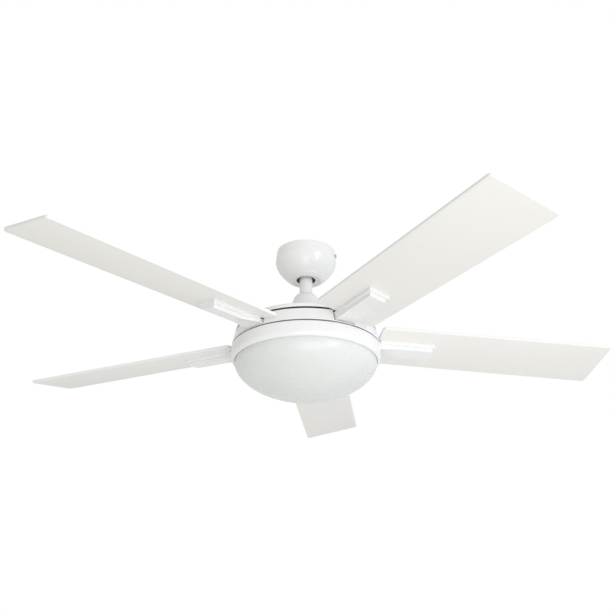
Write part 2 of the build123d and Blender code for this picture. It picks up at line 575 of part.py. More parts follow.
with BuildPart() as stator_windings:
    with BuildSketch(Plane.XY.offset(Z_STATOR - STATOR_H / 2)):
        with PolarLocations((slot_inner_r + slot_outer_r) / 2, STATOR_SLOTS):
            Rectangle(slot_outer_r - slot_inner_r - 1.0, 6.0)
    extrude(amount=STATOR_H)
    for base in (Z_STATOR + STATOR_H / 2, Z_STATOR - STATOR_H / 2 - WINDING_RISE):
        ring(slot_inner_r, slot_outer_r, base, base + WINDING_RISE)
    end_faces = [stator_windings.faces().sort_by(Axis.Z)[0], stator_windings.faces().sort_by(Axis.Z)[-1]]
    fillet([edge for face in end_faces for edge in face.edges()], radius=2.0)
save(stator_windings, "stator_windings")

core_screw_r = ROTOR_CORE_R - CORE_SCREW_IN
with BuildPart() as rotor_core:
    ring(STATOR_R + AIR_GAP, ROTOR_CORE_R, Z_STATOR - STATOR_H / 2, Z_STATOR + STATOR_H / 2)
    with BuildSketch(Plane.XY.offset(Z_STATOR - STATOR_H / 2)):
        with PolarLocations(core_screw_r, 4, start_angle=45):
            Circle(2.4 + FIT_GAP)
    extrude(amount=STATOR_H, mode=Mode.SUBTRACT)
save(rotor_core, "rotor_core")

bell_shoulder_r = 0.58 * MOTOR_R
shoulder_drop = 12.0
with BuildPart() as rotor_upper_bell:
    turned([(BEARING_R, Z_MOTOR_TOP), (bell_shoulder_r, Z_MOTOR_TOP), (MOTOR_R, Z_MOTOR_TOP - shoulder_drop),
            (MOTOR_R, Z_MOTOR_SPLIT), (ROTOR_CORE_R, Z_MOTOR_SPLIT),
            (ROTOR_CORE_R, Z_MOTOR_TOP - shoulder_drop - 1.5),
            (bell_shoulder_r, Z_MOTOR_TOP - BELL_WALL), (BEARING_R + 3.0, Z_MOTOR_TOP - BELL_WALL),
            (BEARING_R + 3.0, Z_UPPER_BEARING), (BEARING_R, Z_UPPER_BEARING)])
    with BuildSketch(Plane.XY.offset(Z_MOTOR_TOP - BELL_WALL)):
        with PolarLocations((BEARING_R + bell_shoulder_r) / 2 + 2.0, 10):
            SlotOverall(12.0, 4.0)
    extrude(amount=BELL_WALL, mode=Mode.SUBTRACT)
save(rotor_upper_bell, "rotor_upper_bell")

with BuildPart() as rotor_lower_bell:
    turned([(BEARING_R, Z_MOTOR_BASE), (MOTOR_R, Z_MOTOR_BASE), (MOTOR_R, Z_MOTOR_SPLIT),
            (ROTOR_CORE_R, Z_MOTOR_SPLIT), (ROTOR_CORE_R, Z_MOTOR_BASE + BELL_WALL),
            (BEARING_R + 3.0, Z_MOTOR_BASE + BELL_WALL), (BEARING_R + 3.0, Z_MOTOR_BASE + BEARING_W),
            (BEARING_R, Z_MOTOR_BASE + BEARING_W)])
    arm_screw_holes(2.5, Z_MOTOR_BASE, Z_MOTOR_BASE + BELL_WALL - 0.5)
save(rotor_lower_bell, "rotor_lower_bell")

# Screws that hold the turning core down on the lower bell, with their heads on the core's top
core_top = Z_STATOR + STATOR_H / 2
with BuildPart() as rotor_core_screws:
    with BuildSketch(Plane.XY.offset(Z_MOTOR_BASE + BELL_WALL)):
        with PolarLocations(core_screw_r, 4, start_angle=45):
            Circle(2.4)
    extrude(amount=core_top - Z_MOTOR_BASE - BELL_WALL)
    with BuildSketch(Plane.XY.offset(core_top)):
        with PolarLocations(core_screw_r, 4, start_angle=45):
            RegularPolygon(3.8, 6)
    extrude(amount=2.4)
save(rotor_core_screws, "rotor_core_screws")

# ---------------------------------------------------------------------------------------------
# Turning band: a flared ring with a floor that is screwed up under the motor with the arms
floor_r = BAND_R - BAND_FLARE * 0.18 - BAND_WALL / 2


with BuildPart() as rotor_band:
    turned([(BAND_TOP_R, Z_BAND_TOP), (BAND_R, Z_BAND_BASE), (BAND_R - BAND_WALL, Z_BAND_BASE),
            (floor_r, Z_SILL - BAND_WALL), (BAND_HUB_R, Z_SILL - BAND_WALL), (BAND_HUB_R, Z_SILL),
            (floor_r - 0.5, Z_SILL), (BAND_TOP_R - BAND_WALL, Z_BAND_TOP)])
    with BuildSketch(Plane.XY.offset(Z_SILL)):
        for heading in headings:
            with Locations(Location((0, 0, 0), (0, 0, heading))):
                with Locations((BAND_R, 0)):
                    Rectangle(30.0, ARM_W + 2 * ARM_SLOT_GAP)
    extrude(amount=Z_BAND_TOP - Z_SILL + 1.0, mode=Mode.SUBTRACT)
    with BuildSketch(Plane.XY.offset(Z_SILL)):
        for heading in headings:
            with Locations(Location((0, 0, 0), (0, 0, heading))):
                with Locations((BAND_R, 0)):
                    Rectangle(8.0, ARM_W + 2 * ARM_SLOT_GAP)
    extrude(amount=-BAND_WALL, mode=Mode.SUBTRACT)
    arm_screw_holes(2.5 + FIT_GAP, Z_SILL - BAND_WALL, Z_SILL)
save(rotor_band, "rotor_band")

# ---------------------------------------------------------------------------------------------
# Blades and arms. The first of each is made on heading 0 and the others are turned copies.
# On the blade's plane x runs out along the blade, y to its lower edge, and z = 0 is its underside.
Z_BLADE = Z_SILL + BLADE_SEAT_H + ARM_STEP_T * 0.7
blade_plane = Plane(Location((0, 0, Z_BLADE), (-BLADE_PITCH, BLADE_DROOP, 0)))
blade_screw_places = [(ARM_END_R - 16.0, 0), (ARM_END_R - 54.0, BLADE_SCREW_SPREAD / 2),
                      (ARM_END_R - 54.0, -BLADE_SCREW_SPREAD / 2)]


def stepped_outline(top, wide, narrow, step, depth):
    """Corners of the arm's cross-section: a wide upper step over a narrower one."""
    return [(-wide, top), (wide, top), (wide, top - step), (narrow, top - step), (narrow, top - depth),
            (-narrow, top - depth), (-narrow, top - step), (-wide, top - step)]


def blade_underside(x, y):
    """Height of the blade's lower face at one place of the blade on heading 0."""
    tilt = blade_plane.z_dir
    return Z_BLADE - (tilt.X * x + tilt.Y * y) / tilt.Z


def neck_outline(drop, step):
    """Arm's cross-section where it leaves the band: pitched on top, flat below."""
    wide = ARM_W / 2
    narrow = wide - ARM_NECK_IN
    high = blade_underside(ARM_NECK_END_R, -wide) - drop
    low = blade_underside(ARM_NECK_END_R, wide) - drop
    return [(-wide, high), (wide, low), (wide, low - step), (narrow, low - step), (narrow, Z_SILL),
            (-narrow, Z_SILL), (-narrow, high - step), (-wide, high - step)]


def across_blade(radius):
    """The plane square to the blade at one radius."""
    return Plane(origin=blade_plane.from_local_coords((radius, 0, 0)), x_dir=blade_plane.y_dir,
                 z_dir=blade_plane.x_dir)


with BuildPart() as blade_pattern:
    with BuildSketch(blade_plane):
        with BuildLine():
            Polyline((BLADE_ROOT_R, -BLADE_ROOT_W / 2), (BLADE_TIP_R, -BLADE_TIP_W / 2),
                     (BLADE_TIP_R, BLADE_TIP_W / 2), (BLADE_ROOT_R, BLADE_ROOT_W / 2), close=True)
        make_face()
    extrude(amount=BLADE_T)
    corners = blade_pattern.edges().filter_by(lambda edge: abs(edge.length - BLADE_T) < 0.01)
    fillet(corners, radius=BLADE_CORNER_R)
    chamfer(blade_pattern.faces().sort_by(SortBy.AREA)[-2:].edges(), length=0.5)
    with BuildSketch(blade_plane):
        with Locations(*blade_screw_places):
            Circle(BLADE_SCREW_R + FIT_GAP)
    extrude(amount=BLADE_T, mode=Mode.SUBTRACT)

neck_end = Plane(origin=(ARM_NECK_END_R, 0, 0), x_dir=(0, 1, 0), z_dir=(1, 0, 0))
with BuildPart() as arm_pattern:
    with BuildSketch(across_blade(ARM_TWIST_END_R)):
        with BuildLine():
            Polyline(*stepped_outline(0, ARM_W / 2, ARM_W / 2 - ARM_STEP_IN, ARM_STEP_T, 2 * ARM_STEP_T),
                     close=True)
        make_face()
    with BuildSketch(neck_end):
        with BuildLine():
            Polyline(*neck_outline(0.0, ARM_NECK_STEP_T), close=True)
        make_face()
    loft(ruled=True)
    with BuildSketch(across_blade(ARM_TWIST_END_R)):
        with BuildLine():
            Polyline(*stepped_outline(0, ARM_W / 2, ARM_W / 2 - ARM_STEP_IN, ARM_STEP_T, 2 * ARM_STEP_T),
                     close=True)
        make_face()
    extrude(amount=ARM_END_R - ARM_TWIST_END_R)
    with BuildSketch(across_blade(ARM_END_R - ARM_STEP_IN)):
        with Locations((0, -1.5 * ARM_STEP_T)):
            Rectangle(ARM_W, ARM_STEP_T)
    extrude(amount=2 * ARM_STEP_IN, mode=Mode.SUBTRACT)
    with BuildSketch(neck_end):
        with BuildLine():
            Polyline(*neck_outline(ARM_NECK_DROP, 2.0), close=True)
        make_face()
    extrude(amount=MOTOR_R + 4.0 - ARM_NECK_END_R)
    block((ARM_FOOT_R, MOTOR_R + 4.0), (-ARM_W / 2, ARM_W / 2), (Z_SILL, Z_SILL + ARM_FOOT_T))
    with BuildSketch(blade_plane):
        with Locations(((BLADE_ROOT_R + BLADE_TIP_R) / 2, 0)):
            Rectangle(BLADE_TIP_R - BLADE_ROOT_R + 1.0, BLADE_ROOT_W)
    extrude(amount=30.0, mode=Mode.SUBTRACT)
    with BuildSketch(Plane.XY.offset(Z_SILL)):
        with Locations((ARM_SCREW_R, arm_screw_y), (ARM_SCREW_R, -arm_screw_y)):
            Circle(2.5 + FIT_GAP)
    extrude(amount=ARM_FOOT_T, mode=Mode.SUBTRACT)
    with BuildSketch(blade_plane):
        with Locations(*blade_screw_places):
            Circle(BLADE_SCREW_R)
    extrude(amount=-9.0, mode=Mode.SUBTRACT)

with BuildPart() as blade_screw_pattern:
    with BuildSketch(blade_plane):
        with Locations(*blade_screw_places):
            Circle(BLADE_SCREW_R)
    extrude(amount=BLADE_T + 1.0)
    with BuildSketch(blade_plane):
        with Locations(*blade_screw_places):
            Circle(BLADE_SCREW_R)
    extrude(amount=-8.5)
    with BuildSketch(blade_plane.offset(BLADE_T + 1.0)):
        with Locations(*blade_screw_places):
            Circle(BLADE_SCREW_HEAD_R)
    extrude(amount=2.2)

with BuildPart() as blade_washer_pattern:
    with BuildSketch(blade_plane.offset(BLADE_T)):
        with Locations(*blade_screw_places):
            Circle(BLADE_SCREW_HEAD_R + 1.5)
        with Locations(*blade_screw_places):
            Circle(BLADE_SCREW_R + FIT_GAP, mode=Mode.SUBTRACT)
    extrude(amount=1.0)

with BuildPart() as arm_screw_pattern:
    with BuildSketch(Plane.XY.offset(Z_SILL - BAND_WALL)):
        with Locations((ARM_SCREW_R, arm_screw_y), (ARM_SCREW_R, -arm_screw_y)):
            Circle(2.5)
    extrude(amount=BAND_WALL + ARM_FOOT_T + BELL_WALL - 0.5)
    with BuildSketch(Plane.XY.offset(Z_SILL - BAND_WALL)):
        with Locations((ARM_SCREW_R, arm_screw_y), (ARM_SCREW_R, -arm_screw_y)):
            Circle(4.6)
    extrude(amount=-2.2)

for number, heading in enumerate(headings, start=1):
    for pattern, name in ((blade_pattern, "blade"), (arm_pattern, "blade_arm")):
        with BuildPart() as turned_copy:
            add(pattern.part, rotation=(0, 0, heading))
        save(turned_copy, name + "_" + str(number))

for pattern, name in ((blade_screw_pattern, "blade_screws"), (blade_washer_pattern, "blade_washers"),
                      (arm_screw_pattern, "arm_screws")):
    with BuildPart() as all_round:
        for heading in headings:
            add(pattern.part, rotation=(0, 0, heading))
    save(all_round, name)

# ---------------------------------------------------------------------------------------------
# Light kit: a fixed pan on the shaft, the ring under the band, and the parts that hold the glass
hook_r = COLLAR_R - 11.0
foot_r = COLLAR_R - 3.5
collar_inner_r = COLLAR_R - 2.0
lug_r = hook_r + 4.0
Z_LUG = Z_GLASS_RIM - 3.0
lug_headings = [30.0 + 360.0 / LUG_COUNT * number for number in range(LUG_COUNT)]

with BuildPart() as light_pan:
    ring(SHAFT_R + FIT_GAP, PAN_R, Z_PAN, Z_PAN_TOP)
    for middle in lug_headings:
        sector(hook_r - 1.5, hook_r, Z_LUG - 3.3, Z_PAN, middle, HOOK_ANGLE)
        sector(hook_r - 1.5, foot_r, Z_LUG - 3.3, Z_LUG - 1.8, middle - 0.5, LUG_ANGLE + 2.0)
        sector(hook_r - 1.5, foot_r, Z_LUG - 3.3, Z_LUG + 2.0, middle - LUG_ANGLE / 2 - 1.5, 1.4)
    with BuildSketch(Plane.XY.offset(Z_PAN)):
        with PolarLocations(RING_R - RING_WALL - 6.0, 4, start_angle=20):
            Circle(1.5)
    extrude(amount=PAN_T, mode=Mode.SUBTRACT)
save(light_pan, "light_pan")

with BuildPart() as shaft_nuts:
    for base in (Z_PAN_TOP, Z_PAN - 4.0):
        with BuildSketch(Plane.XY.offset(base)):
            RegularPolygon(SHAFT_NUT_R, 6)
            Circle(SHAFT_R, mode=Mode.SUBTRACT)
        extrude(amount=4.0 if base < Z_PAN else 3.5)
save(shaft_nuts, "shaft_nuts")

Z_SWITCH = Z_PAN - 5.5
with BuildPart() as light_ring:
    roll_z = Z_RING_BASE + RING_ROLL_H
    with BuildSketch(Plane.XZ):
        with BuildLine():
            Polyline((PAN_R - RING_FLANGE_W, Z_RING_TOP), (RING_R - 1.3, Z_RING_TOP),
                     (RING_R - 0.3, Z_RING_TOP - 0.9))
            ThreePointArc((RING_R - 0.3, Z_RING_TOP - 0.9), (RING_R + 0.15, (Z_RING_TOP + roll_z) / 2),
                          (RING_R, roll_z))
            ThreePointArc((RING_R, roll_z), (RING_R - 0.27 * RING_ROLL_IN, roll_z - 0.72 * RING_ROLL_H),
                          (LIP_R, Z_RING_BASE))
            Line((LIP_R, Z_RING_BASE), (LIP_R, Z_RING_BASE + RING_WALL))
            ThreePointArc((LIP_R, Z_RING_BASE + RING_WALL),
                          (RING_R - 0.27 * RING_ROLL_IN - 1.1, roll_z - 0.62 * RING_ROLL_H),
                          (RING_R - RING_WALL, roll_z))
            Polyline((RING_R - RING_WALL, roll_z), (RING_R - RING_WALL, Z_RING_TOP - RING_WALL),
                     (PAN_R - RING_FLANGE_W, Z_RING_TOP - RING_WALL), (PAN_R - RING_FLANGE_W, Z_RING_TOP))
        make_face()
    revolve(axis=Axis.Z)
    with BuildSketch(Plane.XY.offset(Z_RING_TOP - RING_WALL)):
        with PolarLocations(RING_R - RING_WALL - 6.0, 4, start_angle=20):
            Circle(1.5)
    extrude(amount=RING_WALL, mode=Mode.SUBTRACT)
    with BuildSketch(Plane(origin=(0, RING_R - 6.0, Z_SWITCH), x_dir=(1, 0, 0), z_dir=(0, 1, 0))):
        SlotOverall(SWITCH_KNOB_W + 2 * SWITCH_TRAVEL + 1.6, SWITCH_KNOB_H + 1.4)
    extrude(amount=12.0, mode=Mode.SUBTRACT)
save(light_ring, "light_ring")

with BuildPart() as light_ring_screws:
    with BuildSketch(Plane.XY.offset(Z_RING_TOP)):
        with PolarLocations(RING_R - RING_WALL - 6.0, 4, start_angle=20):
            Circle(1.45)
    extrude(amount=-6.0)
    with BuildSketch(Plane.XY.offset(Z_RING_TOP)):
        with PolarLocations(RING_R - RING_WALL - 6.0, 4, start_angle=20):
            Circle(2.8)
    extrude(amount=1.0)
save(light_ring_screws, "light_ring_screws")

with BuildPart() as reverse_switch_body:
    switch_back = RING_R - RING_WALL - 13.0
    switch_face = math.sqrt((RING_R - RING_WALL) ** 2 - 10.0 ** 2) - SEAT_GAP
    block((-10.0, 10.0), (switch_back, switch_face), (Z_SWITCH - 4.0, Z_SWITCH + 4.0))
    block((-SWITCH_TRAVEL - SWITCH_KNOB_W / 2 - 0.5, SWITCH_TRAVEL + SWITCH_KNOB_W / 2 + 0.5),
          (switch_face - 5.0, switch_face),
          (Z_SWITCH - SWITCH_KNOB_H / 2 - 0.4, Z_SWITCH + SWITCH_KNOB_H / 2 + 0.4),
          mode=Mode.SUBTRACT)
save(reverse_switch_body, "reverse_switch_body")

with BuildPart() as reverse_switch_knob:
    block((-SWITCH_KNOB_W / 2, SWITCH_KNOB_W / 2), (switch_face - 4.5, RING_R + 2.2),
          (Z_SWITCH - SWITCH_KNOB_H / 2, Z_SWITCH + SWITCH_KNOB_H / 2))
    fillet(reverse_switch_knob.faces().sort_by(Axis.Y)[-1].edges(), radius=0.6)
save(reverse_switch_knob, "reverse_switch_knob")

with BuildPart() as capacitor:
    block((-17.0, 17.0), (0.45 * RING_R, 0.45 * RING_R + 16.0), (Z_PAN - 20.0, Z_PAN))
    fillet(capacitor.edges().filter_by(Axis.Z), radius=3.0)
save(capacitor, "capacitor")

# Lamps: a folded bracket, a holder on each side, and two small bulbs lying across the bowl
bracket_x = SHAFT_NUT_R + LAMP_BRACKET_GAP + PAN_T
with BuildPart() as lamp_bracket:
    block((-bracket_x, bracket_x), (-20.0, 20.0), (Z_LAMP - HOLDER_R - 1.5, Z_PAN))
    block((-bracket_x + PAN_T, bracket_x - PAN_T), (-20.0, 20.0), (Z_LAMP - HOLDER_R, Z_PAN),
          mode=Mode.SUBTRACT)
    for side in (-1, 1):
        feet = sorted((side * (bracket_x - PAN_T), side * (bracket_x + 8.0)))
        block(feet, (-20.0, 20.0), (Z_PAN - PAN_T, Z_PAN))
save(lamp_bracket, "lamp_bracket")

with BuildPart() as lampholders:
    for side in (-1, 1):
        rod_between((side * bracket_x, 0, Z_LAMP), (side * (bracket_x + HOLDER_L), 0, Z_LAMP), HOLDER_R)
        rod_between((side * (bracket_x + 4.0), 0, Z_LAMP), (side * (bracket_x + HOLDER_L), 0, Z_LAMP),
                    CAP_R + SEAT_GAP, mode=Mode.SUBTRACT)
save(lampholders, "lampholders")

cap_start = bracket_x + 4.5
cap_end = bracket_x + HOLDER_L + 1.0
with BuildPart() as bulb_caps:
    for side in (-1, 1):
        rod_between((side * cap_start, 0, Z_LAMP), (side * cap_end, 0, Z_LAMP), CAP_R)
save(bulb_caps, "bulb_caps")

with BuildPart() as bulb_globes:
    with BuildSketch(Plane.XZ):
        with BuildLine():
            Line((cap_end, Z_LAMP), (cap_end, Z_LAMP + CAP_R - 0.3))
            Spline((cap_end, Z_LAMP + CAP_R - 0.3), (cap_end + 0.35 * BULB_L, Z_LAMP + 0.86 * BULB_R),
                   (cap_end + 0.62 * BULB_L, Z_LAMP + BULB_R),
                   (cap_end + 0.9 * BULB_L, Z_LAMP + 0.66 * BULB_R),
                   (cap_end + BULB_L, Z_LAMP), tangents=((1, 0.3), (0, -1)))
            Line((cap_end + BULB_L, Z_LAMP), (cap_end, Z_LAMP))
        make_face()
    revolve(axis=Axis((0, 0, Z_LAMP), (1, 0, 0)))
    mirror(about=Plane.YZ)
save(bulb_globes, "bulb_globes")

# Four supply leads, clear of both cross pins in the rod and then drawn in to pass down the shaft
lead_wide = ROD_R - ROD_WALL - 2.6 * LEAD_R
lead_narrow = SHAFT_R - SHAFT_WALL - LEAD_R - 0.45
with BuildPart() as lead_pattern:
    with BuildLine(Plane.XZ):
        FilletPolyline((lead_wide, Z_ROD_TOP - 1.0), (lead_wide, Z_ROD_END + 3.0),
                       (lead_narrow, Z_COUPLER_WEB), (lead_narrow, Z_SHAFT_END - 4.0), radius=12.0)
    with BuildSketch(Plane(origin=(lead_wide, 0, Z_ROD_TOP - 1.0), z_dir=(0, 0, -1))):
        Circle(LEAD_R)
    sweep()

with BuildPart() as supply_leads:
    for quarter in range(4):
        add(lead_pattern.part, rotation=(0, 0, 45.0 + 90.0 * quarter))
save(supply_leads, "supply_leads")

# Glass bowl, and the collar in its neck whose lugs turn onto the pan's hooks
with BuildPart() as glass_bowl:
    with BuildSketch(Plane.XZ):
        with BuildLine():
            outside = bowl_curve(GLASS_R, GLASS_BOWL_H, GLASS_BOWL_POWER, Z_NECK_BASE, 0.001)
            inside = bowl_curve(GLASS_R - GLASS_T, GLASS_BOWL_H - GLASS_T, GLASS_BOWL_POWER, Z_NECK_BASE,
                                0.001)
            Line((GLASS_R, Z_GLASS_RIM), outside[0])
            Spline(*outside[:-1], (0, Z_GLASS_BASE), tangents=((0, -1), (-1, 0)))
            Line((0, Z_GLASS_BASE), (0, Z_GLASS_BASE + GLASS_T))
            Spline((0, Z_GLASS_BASE + GLASS_T), *reversed(inside[:-1]), tangents=((1, 0), (0, 1)))
            Polyline(inside[0], (GLASS_R - GLASS_T, Z_GLASS_RIM), (GLASS_R, Z_GLASS_RIM))
        make_face()
    revolve(axis=Axis.Z)
save(glass_bowl, "glass_bowl")

with BuildPart() as glass_collar:
    turned([(collar_inner_r, Z_GLASS_RIM - 10.0), (COLLAR_R, Z_GLASS_RIM - 10.0), (COLLAR_R, Z_GLASS_RIM),
            (GLASS_R - 0.2, Z_GLASS_RIM), (GLASS_R - 0.2, Z_GLASS_RIM + 1.2),
            (collar_inner_r, Z_GLASS_RIM + 1.2)])
    for middle in lug_headings:
        sector(lug_r, collar_inner_r + 0.5, Z_LUG - 1.5, Z_LUG, middle, LUG_ANGLE)
save(glass_collar, "glass_collar")
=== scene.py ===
"""Looks of a white five-blade ceiling fan with an opal bowl light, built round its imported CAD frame."""
import bpy
import bmesh
import json
import math
from mathutils import Matrix, Vector


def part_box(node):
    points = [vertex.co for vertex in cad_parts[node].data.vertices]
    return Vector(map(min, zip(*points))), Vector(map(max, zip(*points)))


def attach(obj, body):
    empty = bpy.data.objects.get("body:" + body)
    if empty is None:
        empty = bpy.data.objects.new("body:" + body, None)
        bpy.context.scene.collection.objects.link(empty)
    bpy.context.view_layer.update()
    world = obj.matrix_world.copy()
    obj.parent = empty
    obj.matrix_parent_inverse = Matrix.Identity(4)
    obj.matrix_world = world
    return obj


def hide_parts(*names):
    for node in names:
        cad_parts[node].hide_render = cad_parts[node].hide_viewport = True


bl_info = {
    "name": "White Ceiling Fan",
    "version": (1, 0, 0),
    "blender": (4, 5, 0),
    "location": "3D View > Sidebar > Fan",
    "description": "Builds the shells, blades, lamp glass and finishes of a ceiling fan",
    "category": "Object",
}

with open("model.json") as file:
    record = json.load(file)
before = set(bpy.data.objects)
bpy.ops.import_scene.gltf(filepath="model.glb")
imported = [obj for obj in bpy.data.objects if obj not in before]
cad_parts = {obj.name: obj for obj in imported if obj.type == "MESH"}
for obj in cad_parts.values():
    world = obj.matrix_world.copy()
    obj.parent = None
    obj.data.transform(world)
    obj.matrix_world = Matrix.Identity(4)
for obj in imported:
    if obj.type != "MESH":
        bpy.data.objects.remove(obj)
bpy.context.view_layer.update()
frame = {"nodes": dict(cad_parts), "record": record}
MM = 0.001
BLADE_COUNT = sum(1 for node in frame["nodes"] if node.startswith("blade_") and node[6:].isdigit())
ROUND = 192                # sides of the large turned shells
SMALL_ROUND = 64


def rim(node):
    """Largest radius of a round CAD node."""
    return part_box(node)[1].x


def top(node):
    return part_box(node)[1].z


def base(node):
    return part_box(node)[0].z


# ---------------------------------------------------------------------------------------------
# Settings
def length(name, description, default):
    return bpy.props.FloatProperty(name=name, description=description, default=default, min=0.0,
                                   subtype="DISTANCE", unit="LENGTH", precision=5)


def angle(name, description, degrees):
    return bpy.props.FloatProperty(name=name, description=description, default=math.radians(degrees),
                                   subtype="ANGLE", unit="ROTATION")


def colour(name, description, default):
    return bpy.props.FloatVectorProperty(name=name, description=description, default=default, size=3,
                                         min=0.0, max=1.0, subtype="COLOR")


def share(name, description, default):
    return bpy.props.FloatProperty(name=name, description=description, default=default, min=0.0, max=1.0,
                                   subtype="FACTOR")


def power(name, description, default):
    return bpy.props.FloatProperty(name=name, description=description, default=default, min=0.0,
                                   subtype="POWER", unit="POWER")


class FanSizes(bpy.types.PropertyGroup):
    """Sizes of the pressed shells, the blades and the glass."""
    sheet: length("Sheet", "Thickness of the pressed steel shells", 1.2 * MM)
    canopy_rim_r: length("Canopy rim radius", "Canopy's outer radius at the ceiling", 57.9 * MM)
    canopy_crease_h: length("Canopy crease", "Rim down to the crease in the canopy's side", 20.0 * MM)
    canopy_waist_h: length("Canopy waist", "Rim down to the canopy's widest ring", 23.1 * MM)
    canopy_bowl_h: length("Canopy bowl", "Height scale of the canopy's rounded part", 52.5 * MM)
    canopy_step_r: length("Canopy step", "Radius of the small pressed step", 38.0 * MM)
    canopy_ridge_r: length("Canopy ridge", "Radius of the lowest pressed ridge", 29.0 * MM)
    canopy_hole_r: length("Canopy hole", "Radius of the hole round the rod", 18.8 * MM)
    canopy_screw_h: length("Canopy screws", "Rim down to the canopy's screws", 14.0 * MM)
    canopy_screw_turn: angle("Screw turn", "Each canopy screw's heading from X", 13.0)
    canopy_recess: length("Canopy recess", "How far the flat round the hole is pressed back up", 2.3 * MM)
    rod_wall: length("Rod wall", "Wall of the downrod", 2.0 * MM)
    band_wall: length("Band wall", "Wall of the turning band and the light ring", 1.5 * MM)
    arm_width: length("Arm width", "Width of the arm's upper step", 41.0 * MM)
    arm_slot_gap: length("Arm slot gap", "Gap between an arm and the band's slot", 1.1 * MM)
    blade_root_w: length("Blade root width", "Width of a blade beside the band", 120.0 * MM)
    blade_tip_w: length("Blade tip width", "Width of a blade at its tip", 128.0 * MM)
    blade_thick: length("Blade thickness", "Thickness of a blade", 5.5 * MM)
    blade_tip_r: length("Blade tip", "Fan's axis to the blades' tips", 609.6 * MM)
    blade_gap: length("Blade gap", "Top cover's edge to the blades' root edges", 3.0 * MM)
    blade_lift: length("Blade lift", "Band's floor up to the blades' underside on the axis", 14.1 * MM)
    blade_pitch: angle("Blade pitch", "Turn of a blade about its length", 12.0)
    blade_droop: angle("Blade droop", "Fall of a blade towards its tip", 0.39)
    first_heading: angle("First blade", "Heading of the first blade from X", 11.75)
    blade_corner_r: length("Blade corner", "Radius of a blade's corners", 8.0 * MM)
    blade_edge_r: length("Blade edge", "Rounding of a blade's long edges", 0.9 * MM)
    glass_thick: length("Glass thickness", "Wall of the glass bowl", 3.5 * MM)
    glass_bowl_h: length("Glass bowl height", "Depth of the rounded part of the bowl", 65.5 * MM)


class FanFinish(bpy.types.PropertyGroup):
    """Colours of the finishes, and how worn and dusty they are."""
    enamel: colour("Enamel", "Gloss white paint on the metal", (0.86, 0.865, 0.87))
    laminate: colour("Laminate", "Satin white skin of the blades", (0.865, 0.85, 0.83))
    opal: colour("Opal glass", "White glass of the bowl", (0.735, 0.758, 0.752))
    steel: colour("Zinc steel", "Plated steel of the bracket, pan and screws", (0.56, 0.57, 0.58))
    casting: colour("Casting", "Die-cast metal of the coupler and the motor bells", (0.42, 0.43, 0.44))
    black: colour("Black plastic", "Hanger ball, receiver and switch", (0.018, 0.018, 0.02))
    copper: colour("Copper", "Varnished winding wire", (0.55, 0.20, 0.075))
    brass: colour("Brass", "Screw caps of the lamps", (0.66, 0.52, 0.27))
    porcelain: colour("Porcelain", "Glazed lampholders", (0.83, 0.82, 0.78))
    dust: share("Dust", "Dust lying on faces that look up", 0.25)
    wear: share("Edge wear", "How far handling has dulled the edges", 0.2)


class FanStage(bpy.types.PropertyGroup):
    """Camera and light of the studio."""
    view_distance: length("View distance", "Camera to the point it looks at", 1.7104)
    view_below: angle("View from below", "Camera's angle below the fan", 24.72)
    aim_drop: length("Aim", "Ceiling down to the point the camera looks at", 0.118)
    lens: bpy.props.FloatProperty(name="Lens", description="Focal length on a 36 mm wide sensor",
                                  default=51.39, min=10.0, subtype="DISTANCE_CAMERA")
    floor_drop: length("Floor", "Ceiling down to the floor", 2.4)
    sky: share("Sky", "Strength of the white surroundings", 0.84)
    key: power("Key light", "Power of the main soft light", 17.5)
    fill: power("Fill light", "Power of the low soft light", 14.0)


# ---------------------------------------------------------------------------------------------
# Shared shader groups
def new_group(name, inputs, outputs):
    """An empty shader group with its sockets; inputs are (name, type, default)."""
    group = bpy.data.node_groups.new(name, "ShaderNodeTree")
    for label, kind, default in inputs:
        socket = group.interface.new_socket(label, in_out="INPUT", socket_type=kind)
        socket.default_value = default
    for label, kind in outputs:
        group.interface.new_socket(label, in_out="OUTPUT", socket_type=kind)
    return group, group.nodes.new("NodeGroupInput"), group.nodes.new("NodeGroupOutput")


def put(tree, kind, inputs=None, **settings):
    """Add a node, set its options and its inputs; an input that is a socket is linked."""
    node = tree.nodes.new(kind)
    for key, value in settings.items():
        setattr(node, key, value)
    for key, value in (inputs or {}).items():
        if isinstance(value, bpy.types.NodeSocket):
            tree.links.new(value, node.inputs[key])
        else:
            node.inputs[key].default_value = value
    return node


def sum_of(tree, operation, first, second, clamp=False):
    return put(tree, "ShaderNodeMath", {0: first, 1: second}, operation=operation, use_clamp=clamp).outputs[0]


def spread(tree, value, low, high, to_low=0.0, to_high=1.0):
    """Map a value from one range to another, clamped."""
    return put(tree, "ShaderNodeMapRange", {"Value": value, "From Min": low, "From Max": high,
                                            "To Min": to_low, "To Max": to_high}).outputs[0]


def local(tree):
    """Place on the piece, in metres."""
    return put(tree, "ShaderNodeTexCoord").outputs["Object"]


def noise(tree, where, scale, detail, roughness=0.5):
    return put(tree, "ShaderNodeTexNoise", {"Vector": where, "Scale": scale, "Detail": detail,
                                            "Roughness": roughness}).outputs[0]


def tinted(tree, factor, first, second):
    mix = put(tree, "ShaderNodeMix", data_type="RGBA")
    for socket, value in ((mix.inputs[0], factor), (mix.inputs[6], first), (mix.inputs[7], second)):
        if isinstance(value, bpy.types.NodeSocket):
            tree.links.new(value, socket)
        else:
            socket.default_value = value
    return mix.outputs[2]


